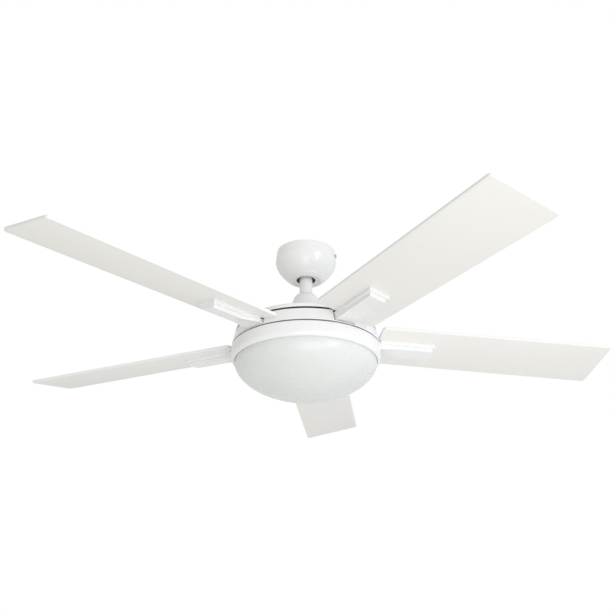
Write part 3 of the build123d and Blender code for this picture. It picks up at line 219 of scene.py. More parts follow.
def paint_film_group():
    """Sprayed film: a slow drift of tone and a fine ripple of the surface."""
    group, given, out = new_group(
        "Paint Film",
        [("Ripple Scale", "NodeSocketFloat", 900.0), ("Drift Scale", "NodeSocketFloat", 9.0)],
        [("Tone", "NodeSocketFloat"), ("Height", "NodeSocketFloat"), ("Haze", "NodeSocketFloat")])
    where = local(group)
    drift = noise(group, where, given.outputs["Drift Scale"], 3.0)
    ripple = noise(group, where, given.outputs["Ripple Scale"], 2.0, 0.45)
    haze = noise(group, where, 46.0, 5.0, 0.6)
    group.links.new(spread(group, drift, 0.3, 0.7), out.inputs["Tone"])
    group.links.new(ripple, out.inputs["Height"])
    group.links.new(spread(group, haze, 0.35, 0.75), out.inputs["Haze"])
    return group


def settled_dust_group():
    """A mask of dust: thick on faces that look up, broken into soft patches."""
    group, given, out = new_group(
        "Settled Dust", [("Amount", "NodeSocketFloat", 0.25), ("Patch Scale", "NodeSocketFloat", 60.0)],
        [("Mask", "NodeSocketFloat")])
    normal = put(group, "ShaderNodeNewGeometry").outputs["Normal"]
    up = put(group, "ShaderNodeSeparateXYZ", {0: normal}).outputs[2]
    patch = noise(group, local(group), given.outputs["Patch Scale"], 6.0, 0.68)
    facing = spread(group, up, 0.25, 0.98)
    broken = spread(group, patch, 0.32, 0.68, 0.35, 1.0)
    masked = sum_of(group, "MULTIPLY", facing, broken)
    laid = sum_of(group, "MULTIPLY", masked, given.outputs["Amount"], clamp=True)
    group.links.new(laid, out.inputs["Mask"])
    return group


def edge_wear_and_hollow_shade_group():
    """A mask along outside edges, where hands and cloths have dulled the surface, and a mask of hollows and
    creases for painted shade.
    """
    group, given, out = new_group(
        "Edge Wear And Hollow Shade", [("Amount", "NodeSocketFloat", 0.2), ("Break Scale", "NodeSocketFloat", 140.0)],
        [("Mask", "NodeSocketFloat"), ("Hollow Shade", "NodeSocketFloat")])
    point = put(group, "ShaderNodeNewGeometry").outputs["Pointiness"]
    chips = noise(group, local(group), given.outputs["Break Scale"], 4.0)
    edge = spread(group, point, 0.52, 0.6)
    broken = spread(group, chips, 0.4, 0.62)
    worn = sum_of(group, "MULTIPLY", edge, broken)
    dulled = sum_of(group, "MULTIPLY", worn, given.outputs["Amount"], clamp=True)
    group.links.new(dulled, out.inputs["Mask"])
    # Painted shade: this mask is high in hollows and creases, where the enamel is darkened as if shadowed.
    group.links.new(spread(group, point, 0.48, 0.42), out.inputs["Hollow Shade"])
    return group


def machined_group():
    """Fine turned or rolled lines across metal, with stains."""
    group, given, out = new_group(
        "Machined Lines", [("Line Scale", "NodeSocketVector", (30.0, 30.0, 2400.0))],
        [("Lines", "NodeSocketFloat"), ("Stain", "NodeSocketFloat")])
    where = local(group)
    stretched = put(group, "ShaderNodeVectorMath", {0: where, 1: given.outputs["Line Scale"]},
                    operation="MULTIPLY")
    stain = noise(group, where, 55.0, 7.0, 0.7)
    group.links.new(noise(group, stretched.outputs[0], 1.0, 3.0), out.inputs["Lines"])
    group.links.new(spread(group, stain, 0.4, 0.7), out.inputs["Stain"])
    return group


def make_groups():
    return {"film": paint_film_group(), "dust": settled_dust_group(), "wear": edge_wear_and_hollow_shade_group(),
            "lines": machined_group()}


def effect(tree, groups, name, **values):
    node = put(tree, "ShaderNodeGroup", node_tree=groups[name])
    for key, value in values.items():
        node.inputs[key.replace("_", " ").title()].default_value = value
    return node


# ---------------------------------------------------------------------------------------------
# Materials
def rgba(values, scale=1.0):
    return (values[0] * scale, values[1] * scale, values[2] * scale, 1.0)


def blank(name, **constants):
    """A material with only a Principled shader, whose constants are set on its own sockets."""
    material = bpy.data.materials.new(name)
    material.use_nodes = True
    tree = material.node_tree
    tree.nodes.clear()
    shader = put(tree, "ShaderNodeBsdfPrincipled")
    for key, value in constants.items():
        shader.inputs[key.replace("_", " ").title().replace("Ior", "IOR")].default_value = value
    out = put(tree, "ShaderNodeOutputMaterial")
    tree.links.new(shader.outputs[0], out.inputs[0])
    return material, tree, shader


def bumped(tree, shader, height, strength, distance):
    bump = put(tree, "ShaderNodeBump", {"Height": height, "Strength": strength, "Distance": distance})
    tree.links.new(bump.outputs[0], shader.inputs["Normal"])


def enamel(groups, finish):
    """Gloss white enamel: nearly even, a faint ripple, dust above, dulled edges and painted shade darkening
    its hollows and creases.
    """
    material, tree, shader = blank("gloss_white_enamel", coat_weight=0.35, coat_roughness=0.08)
    film = effect(tree, groups, "film")
    dust = effect(tree, groups, "dust", amount=finish.dust)
    wear = effect(tree, groups, "wear", amount=finish.wear)
    white = tinted(tree, film.outputs["Tone"], rgba(finish.enamel, 0.985), rgba(finish.enamel, 1.01))
    # Painted shade: hollows and creases are darkened towards grey to stand for the shadow that falls in them.
    hollow_shaded = tinted(tree, spread(tree, wear.outputs["Hollow Shade"], 0, 1, 0, 0.22), white, (0.55, 0.53, 0.5, 1))
    worn = tinted(tree, wear.outputs["Mask"], hollow_shaded, (0.78, 0.77, 0.74, 1))
    dusty = tinted(tree, dust.outputs["Mask"], worn, (0.5, 0.485, 0.46, 1))
    tree.links.new(dusty, shader.inputs["Base Color"])
    gloss = spread(tree, film.outputs["Haze"], 0, 1, 0.2, 0.3)
    tree.links.new(sum_of(tree, "ADD", gloss, dust.outputs["Mask"], clamp=True), shader.inputs["Roughness"])
    bumped(tree, shader, film.outputs["Height"], 0.06, 0.0002)
    return material


def laminate(groups, finish):
    """Satin laminate: warm white, a faint pressed grain along the blade, a paler edge band."""
    material, tree, shader = blank("satin_blade_laminate", coat_weight=0.08, coat_roughness=0.3)
    board = put(tree, "ShaderNodeAttribute", attribute_name="board").outputs["Vector"]
    grain_space = put(tree, "ShaderNodeVectorMath", {0: board, 1: (14.0, 420.0, 420.0)},
                      operation="MULTIPLY")
    warp = put(tree, "ShaderNodeTexNoise", {"Vector": board, "Scale": 6.0, "Detail": 2.0})
    bent = put(tree, "ShaderNodeVectorMath", {0: warp.outputs["Color"], 1: (0.0, 3.5, 0.0),
                                              2: grain_space.outputs[0]}, operation="MULTIPLY_ADD")
    pores = spread(tree, noise(tree, bent.outputs[0], 1.0, 4.0, 0.6), 0.5, 0.66)
    film = effect(tree, groups, "film", drift_scale=4.0)
    dust = effect(tree, groups, "dust", amount=finish.dust)
    height = put(tree, "ShaderNodeSeparateXYZ", {0: board}).outputs[2]
    edge = sum_of(tree, "MULTIPLY", spread(tree, height, 0.0001, 0.0006),
                  spread(tree, height, 0.0054, 0.0049))
    skin = tinted(tree, film.outputs["Tone"], rgba(finish.laminate, 0.99), rgba(finish.laminate, 1.01))
    grained = tinted(tree, spread(tree, pores, 0, 1, 0, 0.3), skin, rgba(finish.laminate, 0.96))
    banded = tinted(tree, spread(tree, edge, 0, 1, 0, 0.8), grained, rgba(finish.enamel))
    dusty = tinted(tree, dust.outputs["Mask"], banded, (0.47, 0.45, 0.42, 1))
    tree.links.new(dusty, shader.inputs["Base Color"])
    satin = spread(tree, pores, 0, 1, 0.4, 0.52)
    tree.links.new(sum_of(tree, "ADD", satin, dust.outputs["Mask"], clamp=True), shader.inputs["Roughness"])
    bumped(tree, shader, pores, 0.08, 0.0002)
    return material


def opal_glass(groups, finish):
    """White flashed glass: light spreads inside it, with a smooth satin face and tiny seeds."""
    material, tree, shader = blank("opal_glass", subsurface_weight=0.06, subsurface_scale=0.002, ior=1.5,
                                   subsurface_radius=(1.0, 1.0, 1.0), coat_weight=0.2, coat_roughness=0.3)
    film = effect(tree, groups, "film", drift_scale=14.0, ripple_scale=120.0)
    tone = tinted(tree, film.outputs["Tone"], rgba(finish.opal, 0.985), rgba(finish.opal, 1.015))
    seeds = put(tree, "ShaderNodeTexVoronoi", {"Vector": local(tree), "Scale": 260.0})
    speck = spread(tree, seeds.outputs["Distance"], 0.1, 0.03)
    tree.links.new(tinted(tree, spread(tree, speck, 0, 1, 0, 0.25), tone, rgba(finish.opal, 1.08)),
                   shader.inputs["Base Color"])
    tree.links.new(spread(tree, film.outputs["Haze"], 0, 1, 0.24, 0.34), shader.inputs["Roughness"])
    bumped(tree, shader, film.outputs["Height"], 0.04, 0.0002)
    return material


def metal(groups, name, tint, rough, line_scale, wear_amount, shine=1.0):
    """A bare or plated metal with fine lines, stains and brightened edges."""
    material, tree, shader = blank(name, metallic=shine)
    lines = effect(tree, groups, "lines", line_scale=line_scale)
    wear = effect(tree, groups, "wear", amount=wear_amount)
    toned = tinted(tree, lines.outputs["Lines"], rgba(tint, 0.82), rgba(tint, 1.12))
    stained = tinted(tree, spread(tree, lines.outputs["Stain"], 0, 1, 0, 0.3), toned, rgba(tint, 0.6))
    bright = tinted(tree, wear.outputs["Mask"], stained, rgba(tint, 1.35))
    tree.links.new(bright, shader.inputs["Base Color"])
    ground = spread(tree, lines.outputs["Lines"], 0.3, 0.7, rough - 0.08, rough + 0.1)
    tree.links.new(ground, shader.inputs["Roughness"])
    bumped(tree, shader, lines.outputs["Lines"], 0.12, 0.0001)
    return material


def plastic(groups, name, tint, rough, grain_scale, wear_amount):
    """Moulded plastic or fibre: a fine spark-eroded grain and slightly polished edges."""
    material, tree, shader = blank(name)
    wear = effect(tree, groups, "wear", amount=wear_amount)
    film = effect(tree, groups, "film", ripple_scale=grain_scale)
    toned = tinted(tree, film.outputs["Tone"], rgba(tint, 0.85), rgba(tint, 1.15))
    lifted = tinted(tree, wear.outputs["Mask"], toned, tuple(0.5 + 0.5 * v for v in tint) + (1.0,))
    tree.links.new(lifted, shader.inputs["Base Color"])
    tree.links.new(spread(tree, film.outputs["Haze"], 0, 1, rough, rough + 0.15), shader.inputs["Roughness"])
    bumped(tree, shader, film.outputs["Height"], 0.2, 0.0002)
    return material


def stacked_steel(groups, finish):
    """Electrical steel: dark sheets half a millimetre thick, one on the other."""
    material, tree, shader = blank("stacked_electrical_steel", metallic=0.85)
    sheets = put(tree, "ShaderNodeTexWave", {"Vector": local(tree), "Scale": 100.0, "Distortion": 0.0},
                 wave_type="BANDS", bands_direction="Z")
    wear = effect(tree, groups, "wear", amount=finish.wear)
    lines = effect(tree, groups, "lines", line_scale=(40.0, 40.0, 40.0))
    base_tone = tinted(tree, sheets.outputs["Fac"], (0.06, 0.06, 0.07, 1), (0.24, 0.24, 0.26, 1))
    rusty = tinted(tree, spread(tree, lines.outputs["Stain"], 0, 1, 0, 0.25), base_tone, (0.2, 0.1, 0.05, 1))
    bright = tinted(tree, wear.outputs["Mask"], rusty, (0.5, 0.5, 0.52, 1))
    tree.links.new(bright, shader.inputs["Base Color"])
    tree.links.new(spread(tree, sheets.outputs["Fac"], 0, 1, 0.5, 0.35), shader.inputs["Roughness"])
    bumped(tree, shader, sheets.outputs["Fac"], 0.4, 0.0002)
    return material


def winding_copper(groups, finish):
    """Varnished copper wire wound in close turns, with painted shade in the grooves between turns and a
    painted highlight on each turn.
    """
    material, tree, shader = blank("winding_copper", metallic=0.9, coat_weight=0.6, coat_roughness=0.15)
    turns = put(tree, "ShaderNodeTexWave", {"Vector": local(tree), "Scale": 90.0, "Distortion": 1.2,
                                            "Detail": 2.0, "Detail Scale": 0.6},
                wave_type="RINGS", rings_direction="Z")
    lines = effect(tree, groups, "lines", line_scale=(60.0, 60.0, 60.0))
    # Painted shade and painted highlight: the wire's colour runs from a dark copy in the grooves between
    # turns to a bright copy on each turn.
    tone = tinted(tree, turns.outputs["Fac"], rgba(finish.copper, 0.35), rgba(finish.copper, 1.2))
    stain = spread(tree, lines.outputs["Stain"], 0, 1, 0, 0.3)
    tree.links.new(tinted(tree, stain, tone, rgba(finish.copper, 0.3)), shader.inputs["Base Color"])
    tree.links.new(spread(tree, turns.outputs["Fac"], 0, 1, 0.45, 0.28), shader.inputs["Roughness"])
    bumped(tree, shader, turns.outputs["Fac"], 0.6, 0.0004)
    return material


def lamp_glass(groups):
    """Frosted glass of the small bulbs."""
    material, tree, shader = blank("frosted_bulb_glass", transmission_weight=0.25, subsurface_weight=0.3,
                                   subsurface_scale=0.008, ior=1.48)
    film = effect(tree, groups, "film", ripple_scale=500.0, drift_scale=30.0)
    tree.links.new(tinted(tree, film.outputs["Tone"], (0.86, 0.86, 0.84, 1), (0.9, 0.9, 0.89, 1)),
                   shader.inputs["Base Color"])
    tree.links.new(spread(tree, film.outputs["Haze"], 0, 1, 0.32, 0.42), shader.inputs["Roughness"])
    bumped(tree, shader, film.outputs["Height"], 0.05, 0.0002)
    return material


MATERIALS = {}
SETTINGS = bpy.context.scene


def material(name):
    """The named finish, made once with the shared groups."""
    if not MATERIALS:
        finish = SETTINGS.fan_finish
        groups = make_groups()
        MATERIALS.update({
            "white_paint": enamel(groups, finish),
            "blade_laminate": laminate(groups, finish),
            "opal_glass": opal_glass(groups, finish),
            "bulb_glass": lamp_glass(groups),
            "zinc_steel": metal(groups, "zinc_plated_steel", finish.steel, 0.36, (900.0, 40.0, 900.0), 0.5),
            "cast_metal": metal(groups, "die_cast_metal", finish.casting, 0.5, (500.0, 500.0, 500.0), 0.6,
                                0.9),
            "shaft_steel": metal(groups, "ground_shaft_steel", (0.62, 0.63, 0.65), 0.24,
                                 (40.0, 40.0, 4200.0), 0.3),
            "cap_brass": metal(groups, "rolled_cap_brass", finish.brass, 0.32, (1800.0, 60.0, 60.0), 0.4),
            "core_steel": stacked_steel(groups, finish),
            "copper_winding": winding_copper(groups, finish),
            "ball_black": plastic(groups, "moulded_black", finish.black, 0.42, 1500.0, 0.25),
            "holder_white": plastic(groups, "glazed_porcelain", finish.porcelain, 0.12, 260.0, 0.1),
            "lead_plastic": plastic(groups, "lead_insulation", (0.05, 0.05, 0.055), 0.4, 1200.0, 0.1),
            "washer_fibre": plastic(groups, "red_fibre", (0.36, 0.055, 0.03), 0.62, 2200.0, 0.2),
        })
    return MATERIALS[name]


# ---------------------------------------------------------------------------------------------
# Mesh building
def mark_sharp(mesh, sharp):
    """Smooth every face, and keep edges sharp where faces meet at more than so many degrees."""
    for face in mesh.faces:
        face.smooth = True
    for edge in mesh.edges:
        edge.smooth = len(edge.link_faces) != 2 or edge.calc_face_angle(0.0) < math.radians(sharp)


def finish_mesh(mesh, name, sharp=32.0):
    """Turn a bmesh into an object with smooth faces and sharp edges."""
    bmesh.ops.remove_doubles(mesh, verts=mesh.verts, dist=1e-7)
    bmesh.ops.recalc_face_normals(mesh, faces=mesh.faces)
    mark_sharp(mesh, sharp)
    data = bpy.data.meshes.new(name)
    mesh.to_mesh(data)
    mesh.free()
    piece = bpy.data.objects.new(name, data)
    SETTINGS.collection.objects.link(piece)
    return piece


def dress(piece, slot, body, *nodes):
    """Give a piece its finish, its body and the CAD nodes that it stands for."""
    piece.data.materials.clear()
    piece.data.materials.append(material(slot))
    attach(piece, body)
    if nodes:
        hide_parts(*nodes)
    return piece


def rounded(corners, steps=5):
    """A closed outline with its corners turned into arcs; each corner is (x, y, radius)."""
    outline = []
    for index, (x, y, radius) in enumerate(corners):
        here = Vector((x, y))
        before = Vector(corners[index - 1][:2]) - here
        after = Vector(corners[(index + 1) % len(corners)][:2]) - here
        turn = before.angle(after) if before.length and after.length else math.pi
        if radius <= 0 or turn > math.radians(178) or turn < math.radians(4):
            outline.append((x, y))
            continue
        reach = min(radius / math.tan(turn / 2), 0.48 * before.length, 0.48 * after.length)
        start = here + before.normalized() * reach
        end = here + after.normalized() * reach
        for step in range(steps + 1):
            share_done = step / steps
            mid = start.lerp(here, share_done).lerp(here.lerp(end, share_done), share_done)
            outline.append((mid.x, mid.y))
    return outline


def superellipse(radius, depth, power, high, stop_radius=0.0, steps=40):
    """A bowl's flank from its vertical side down and in to stop_radius."""
    last = math.acos(min(1.0, (stop_radius / radius) ** (power / 2))) if stop_radius else math.pi / 2
    points = []
    for step in range(steps + 1):
        angle = last * step / steps
        across = radius * max(0.0, math.cos(angle)) ** (2 / power)
        points.append((across, high - depth * math.sin(angle) ** (2 / power)))
    return points


def smooth_line(points, steps=10):
    """A smooth line through points, as a chain of cubic spans."""
    line = []
    padded = [points[0]] + list(points) + [points[-1]]
    for index in range(1, len(padded) - 2):
        a, b, c, d = (Vector(p) for p in padded[index - 1:index + 3])
        for step in range(steps):
            t = step / steps
            line.append(tuple(0.5 * (2 * b + (c - a) * t + (2 * a - 5 * b + 4 * c - d) * t * t
                                     + (3 * b - a - 3 * c + d) * t ** 3)))
    line.append(tuple(points[-1]))
    return line


def lathe(name, outline, sides=ROUND, sharp=32.0):
    """Turn a closed (radius, height) outline about the Z axis."""
    mesh = bmesh.new()
    rings = []
    for radius, height in outline:
        if radius < 1e-7:
            rings.append([mesh.verts.new((0.0, 0.0, height))])
            continue
        turns = [2 * math.pi * i / sides for i in range(sides)]
        rings.append([mesh.verts.new((radius * math.cos(turn), radius * math.sin(turn), height))
                      for turn in turns])
    for near, far in zip(rings, rings[1:] + rings[:1]):
        if len(near) == 1 and len(far) == 1:
            continue
        for i in range(sides):
            loop = []
            for ring, at in ((near, i), (near, i + 1), (far, i + 1), (far, i)):
                vert = ring[at % len(ring)]
                if vert not in loop:
                    loop.append(vert)
            mesh.faces.new(loop)
    return finish_mesh(mesh, name, sharp)


def slab(outline, levels, mesh=None):
    """Stack copies of a flat outline: levels are (height, inset), and both ends are closed."""
    mesh = mesh or bmesh.new()
    centre = Vector((sum(p[0] for p in outline), sum(p[1] for p in outline))) / len(outline)
    rings = []
    for height, inset in levels:
        ring = []
        for index, point in enumerate(outline):
            before = Vector(outline[index - 1])
            after = Vector(outline[(index + 1) % len(outline)])
            along = (after - before).normalized()
            out = Vector((along.y, -along.x))
            if out.dot(Vector(point) - centre) < 0:
                out = -out
            spot = Vector(point) - out * inset
            ring.append(mesh.verts.new((spot.x, spot.y, height)))
        rings.append(ring)
    for near, far in zip(rings, rings[1:]):
        for i in range(len(outline)):
            j = (i + 1) % len(outline)
            mesh.faces.new((near[i], near[j], far[j], far[i]))
    mesh.faces.new(rings[0])
    mesh.faces.new(rings[-1])
    return mesh


def box_mesh(low, high):
    """A plain cutter block."""
    mesh = bmesh.new()
    bmesh.ops.create_cube(mesh, size=1.0)
    for vert in mesh.verts:
        vert.co = Vector((low[k] + (vert.co[k] + 0.5) * (high[k] - low[k]) for k in range(3)))
    return mesh


def applied(piece):
    """Apply a piece's modifiers to its mesh."""
    bpy.context.view_layer.update()
    graph = bpy.context.evaluated_depsgraph_get()
    data = bpy.data.meshes.new_from_object(piece.evaluated_get(graph))
    data.name = piece.name
    piece.modifiers.clear()
    piece.data = data
    return piece


def carve(piece, *cutters):
    """Cut shapes out of a piece."""
    for cutter in cutters:
        cut = piece.modifiers.new("cut", "BOOLEAN")
        cut.operation = "DIFFERENCE"
        cut.solver = "EXACT"
        cut.object = cutter
    applied(piece)
    for cutter in cutters:
        bpy.data.objects.remove(cutter)
    return resharpen(piece)


def resharpen(piece, sharp=32.0):
    """Mark the sharp edges of a mesh again after a cut."""
    mesh = bmesh.new()
    mesh.from_mesh(piece.data)
    mark_sharp(mesh, sharp)
    mesh.to_mesh(piece.data)
    mesh.free()
    return piece


def softened(node, name, width, sides=3, limit=28.0):
    """A copy of a CAD node with its flat faces joined and its edges rounded."""
    mesh = bmesh.new()
    mesh.from_mesh(frame["nodes"][node].data)
    bmesh.ops.remove_doubles(mesh, verts=mesh.verts, dist=2e-6)
    bmesh.ops.dissolve_limit(mesh, angle_limit=math.radians(0.5), verts=mesh.verts, edges=mesh.edges)
    piece = finish_mesh(mesh, name)
    bevel = piece.modifiers.new("edges", "BEVEL")
    bevel.width = width
    bevel.segments = sides
    bevel.limit_method = "ANGLE"
    bevel.angle_limit = math.radians(limit)
    bevel.harden_normals = True
    bevel.use_clamp_overlap = True
    return applied(piece)


def place(piece, matrix):
    """Move a piece's mesh, leaving its object at the origin."""
    piece.data.transform(matrix)
    return piece


def joined(name, pieces):
    """One piece made of several."""
    mesh = bmesh.new()
    for piece in pieces:
        mesh.from_mesh(piece.data)
        bpy.data.objects.remove(piece)
    return finish_mesh(mesh, name)


def recess_cutter(width, reach, depth_low, depth_high):
    """A cross-shaped cutter for a screw's driver recess."""
    half, arm = width / 2, reach
    cross = [(half, half), (arm, half), (arm, -half), (half, -half), (half, -arm), (-half, -arm),
             (-half, -half), (-arm, -half), (-arm, half), (-half, half), (-half, arm), (half, arm)]
    return finish_mesh(slab(cross, [(depth_low, 0.35 * half), (depth_high, 0.0)]), "recess_cutter")


def pan_screw(name, head_r, head_h, shank_r, shank_l):
    """A pan-head screw along Z: its head sits on z = 0 and its shank points down, with a thread."""
    pitch = 0.9 * MM
    outline = [(0.0, head_h)]
    outline += [(head_r * math.sin(a), head_h * (0.35 + 0.65 * math.cos(a)))
                for a in (math.radians(d) for d in (12, 25, 40, 55, 70, 82, 90))]
    outline += [(head_r, 0.0), (shank_r, 0.0)]
    turns = max(1, int(shank_l / pitch))
    for turn in range(turns):
        outline += [(shank_r, -turn * pitch - 0.1 * pitch), (shank_r * 0.86, -(turn + 0.55) * pitch)]
    outline += [(shank_r * 0.8, -shank_l), (0.0, -shank_l)]
    screw = lathe(name, outline, sides=32)
    return carve(screw, recess_cutter(0.24 * head_r, 0.56 * head_r, 0.25 * head_h, head_h * 1.5))


# ---------------------------------------------------------------------------------------------
# The pieces
def make_canopy(size):
    """Pressed canopy: rolled rim, step, ridge, recessed hole, and a slot for the bracket's hook."""
    high = top("canopy")
    low = base("canopy")
    waist = rim("canopy")
    t = size.sheet
    waist_z = high - size.canopy_waist_h
    hole_z = low + size.canopy_recess + 0.07 * MM
    outer = superellipse(waist, size.canopy_bowl_h, 1.62, waist_z, size.canopy_step_r)
    inner = superellipse(waist - t, size.canopy_bowl_h - t, 1.62, waist_z, size.canopy_step_r - t)
    crease = (waist - 0.3 * MM, high - size.canopy_crease_h)
    side = rounded([(size.canopy_rim_r - t, high, 0.5 * t), (size.canopy_rim_r, high, 0.5 * t),
                    (*crease, 1.5 * MM), (*outer[1], 0)])[:-1]
    step_r, ridge_r = size.canopy_step_r, size.canopy_ridge_r
    foot = rounded([(*outer[-2], 0), (*outer[-1], 0.5 * MM),
                    (step_r - 0.6 * MM, outer[-1][1] - 1.2 * MM, 0.6 * MM),
                    (ridge_r + 1.6 * MM, low + 0.25 * MM, 1.6 * MM),
                    (ridge_r - 0.6 * MM, low + 0.1 * MM, 1.2 * MM),
                    (ridge_r - 3.5 * MM, hole_z, 1.2 * MM), (size.canopy_hole_r, hole_z, 0.4 * t),
                    (size.canopy_hole_r, hole_z + t, 0.4 * t), (ridge_r - 3.0 * MM, hole_z + t, 1.0 * MM),
                    (*inner[-1], 1.0 * MM), (*inner[-2], 0)])[1:-1]
    outline = side + outer[1:-1] + foot + list(reversed(inner[:-1]))
    shell = lathe("canopy_shell", outline)
    level = high - size.canopy_screw_h
    slot = finish_mesh(box_mesh((-waist - 5 * MM, -4.3 * MM, level - 1.3 * MM),
                                (5 * MM - waist, 4.3 * MM, level + 1.3 * MM)), "slot")
    return dress(carve(shell, slot), "white_paint", "ceiling_mount", "canopy")


def make_canopy_screws(size):
    """Two pan heads, side by side, that hold the canopy to one tab of the bracket."""
    low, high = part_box("canopy_screws")
    head_h = 2.2 * MM
    level = (low.z + high.z) / 2
    head_r = (high.z - low.z) / 2
    seat = size.canopy_rim_r + 2.08 * MM
    screws = []
    for side in (-1, 1):
        screw = pan_screw("screw", head_r, head_h, 2.0 * MM, 8.0 * MM)
        turn = Matrix.Rotation(side * size.canopy_screw_turn, 4, "Z")
        lay = Matrix.Translation((seat, 0, level)) @ Matrix.Rotation(math.pi / 2, 4, "Y")
        screws.append(place(screw, turn @ lay))
    return dress(joined("canopy_screw_pair", screws), "zinc_steel", "ceiling_mount", "canopy_screws")


def make_downrod(size):
    """Painted tube with turned ends."""
    outer, high, low = rim("downrod"), top("downrod"), base("downrod")
    inner = outer - size.rod_wall
    outline = rounded([(inner, low, 0.5 * MM), (outer, low, 0.5 * MM), (outer, high, 0.5 * MM),
                       (inner, high, 0.5 * MM)])
    return dress(lathe("downrod_tube", outline, SMALL_ROUND * 2), "white_paint", "hanger", "downrod")


def make_coupling_cover(size):
    """Bell over the coupling, with a small collar round the rod and a rolled foot."""
    high, low, foot_r = top("coupling_cover"), base("coupling_cover"), rim("coupling_cover")
    rod = rim("downrod")
    drop = high - low
    t = size.sheet
    neck = rod + 0.8 * MM
    flank = smooth_line([(neck + 1.0 * MM, high - 0.5 * MM), (neck + 6.7 * MM, high - 3.8 * MM),
                         (neck + 9.7 * MM, high - 8.2 * MM), (neck + 11.6 * MM, high - 12.5 * MM),
                         (foot_r - 11.5 * MM, high - 0.51 * drop), (foot_r - 5.6 * MM, high - 0.8 * drop),
                         (foot_r, low + 0.4 * MM)], 8)
    inside = [(r - t, z - 0.3 * MM) for r, z in reversed(flank[6:-1])]
    outline = [(neck, high - 0.2 * MM), (neck + 0.3 * MM, high)] + flank
    outline += [(foot_r, low), (foot_r - t, low)] + inside + [(neck, high - 1.4 * MM)]
    return dress(lathe("coupling_bell", outline, SMALL_ROUND * 2), "white_paint", "hanger", "coupling_cover")


def make_top_cover(size):
    """Shallow dome with a tight rounded shoulder and a straight skirt."""
    high, low, edge_r = top("top_cover"), base("top_cover"), rim("top_cover")
    t = size.sheet
    rim_r, rim_z = edge_r - 1.0 * MM, low + 6.2 * MM
    seat_r, hole_r = rim("coupling_cover") + 1.5 * MM, rim("motor_coupler") * 0.523
    start, end = Vector((seat_r, high)), Vector((rim_r - 4.0 * MM, rim_z + 3.2 * MM))
    dome = []
    for step in range(25):
        done = step / 24
        spot = start.lerp(end, done)
        dome.append((spot.x, spot.y + 4 * done * (1 - done) * 1.4 * MM))
    shoulder = rounded([(*dome[-2], 0), (rim_r - 0.6 * MM, rim_z + 1.6 * MM, 3.5 * MM),
                        (edge_r, low, 0.4 * MM), (edge_r - t, low, 0.4 * MM),
                        (rim_r - t - 0.5 * MM, rim_z + 0.6 * MM, 2.6 * MM),
                        (dome[-3][0], dome[-3][1] - t, 0)], 8)[1:-1]
    under = [(r, z - t) for r, z in reversed(dome[:-2])]
    outline = [(hole_r, high)] + dome[:-1] + shoulder + under + [(hole_r, high - t)]
    return dress(lathe("top_cover_shell", outline, ROUND), "white_paint", "hanger", "top_cover")


def make_band(size):
    """Turning band: flared wall and floor, with an open slot for each arm."""
    low, high = base("rotor_band"), top("rotor_band")
    outer = rim("rotor_band")
    t = size.band_wall
    floor_z = frame_sill()
    top_r = rim("top_cover") + 0.5 * MM
    hub_r = 36.0 * MM
    outline = rounded([(top_r - t, high, 0.35 * MM), (top_r, high, 0.35 * MM), (outer, low, 0.45 * MM),
                       (outer - t, low, 0.3 * MM), (outer - 1.75 * MM, floor_z - t, 0.3 * MM),
                       (hub_r, floor_z - t, 0.3 * MM), (hub_r, floor_z, 0.3 * MM),
                       (outer - 2.3 * MM, floor_z, 0.3 * MM)])
    band = lathe("turning_band", outline, ROUND)
    half = size.arm_width / 2 + size.arm_slot_gap
    cutters = []
    for heading in blade_headings():
        cutter = finish_mesh(slab(rounded([(outer - 15 * MM, -half, 0), (outer + 15 * MM, -half, 0),
                                           (outer + 15 * MM, half, 0), (outer - 15 * MM, half, 0)]),
                                  [(floor_z + 0.02 * MM, 0.0), (high + 5 * MM, 0.0)]), "slot")
        cutters.append(place(cutter, Matrix.Rotation(heading, 4, "Z")))
        under = finish_mesh(box_mesh((outer - 4 * MM, -half, floor_z - t),
                                     (outer + 4 * MM, half, floor_z + t)), "under")
        cutters.append(place(under, Matrix.Rotation(heading, 4, "Z")))
    return dress(carve(band, *cutters), "white_paint", "rotor", "rotor_band")


def frame_sill():
    """Height of the band's floor, on which the arms lie."""
    return base("arm_screws") + 2.2 * MM + SETTINGS.fan_sizes.band_wall


def blade_headings():
    """Heading of each blade, counted anticlockwise from the first."""
    first = SETTINGS.fan_sizes.first_heading
    return [first + 2 * math.pi * number / BLADE_COUNT for number in range(BLADE_COUNT)]


def make_light_ring(size):
    """Fixed ring under the band, rolled in at its lower edge to hold the glass's neck."""
    low, high, outer = base("light_ring"), top("light_ring"), rim("light_ring") - 0.15 * MM
    t = size.band_wall
    lip = outer - 7.2 * MM
    flange_r = outer - 15.8 * MM
    roll = low + 10.0 * MM
    wall = smooth_line([(outer - 0.35 * MM, high - 1.0 * MM), (outer + 0.1 * MM, (high + roll) / 2),
                        (outer, roll)], 6)
    curl = [(lip + 7.2 * MM * math.cos(a) ** 1.15, roll - 10.0 * MM * math.sin(a))
            for a in (math.radians(7.5 * i) for i in range(1, 12))]
    inner = [(lip + (7.2 * MM - t) * math.cos(a) ** 1.15, roll - (10.0 * MM - t) * math.sin(a))
             for a in (math.radians(10 * i) for i in range(8, 0, -1))]
    outline = rounded([(flange_r, high, 0.3 * MM), (outer - 0.6 * MM, high, 1.0 * MM), (*wall[0], 0)], 4)[:-1]
    outline += wall + curl + [(lip + 0.2 * MM, low), (lip, low + 0.3 * MM), (lip, low + t)]
    outline += inner + [(outer - t, roll), (outer - t, high - t), (flange_r, high - t)]
    shell = lathe("light_ring_shell", outline, ROUND)
    knob_low, knob_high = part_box("reverse_switch_knob")
    gap, travel = 0.8 * MM, 3.0 * MM
    slot_low = (knob_low.x - travel - gap, outer - 8 * MM, knob_low.z - gap * 0.8)
    slot_high = (knob_high.x + travel + gap, outer + 8 * MM, knob_high.z + gap * 0.8)
    slot = finish_mesh(box_mesh(slot_low, slot_high), "slot")
    return dress(carve(shell, slot), "white_paint", "hanger", "light_ring")


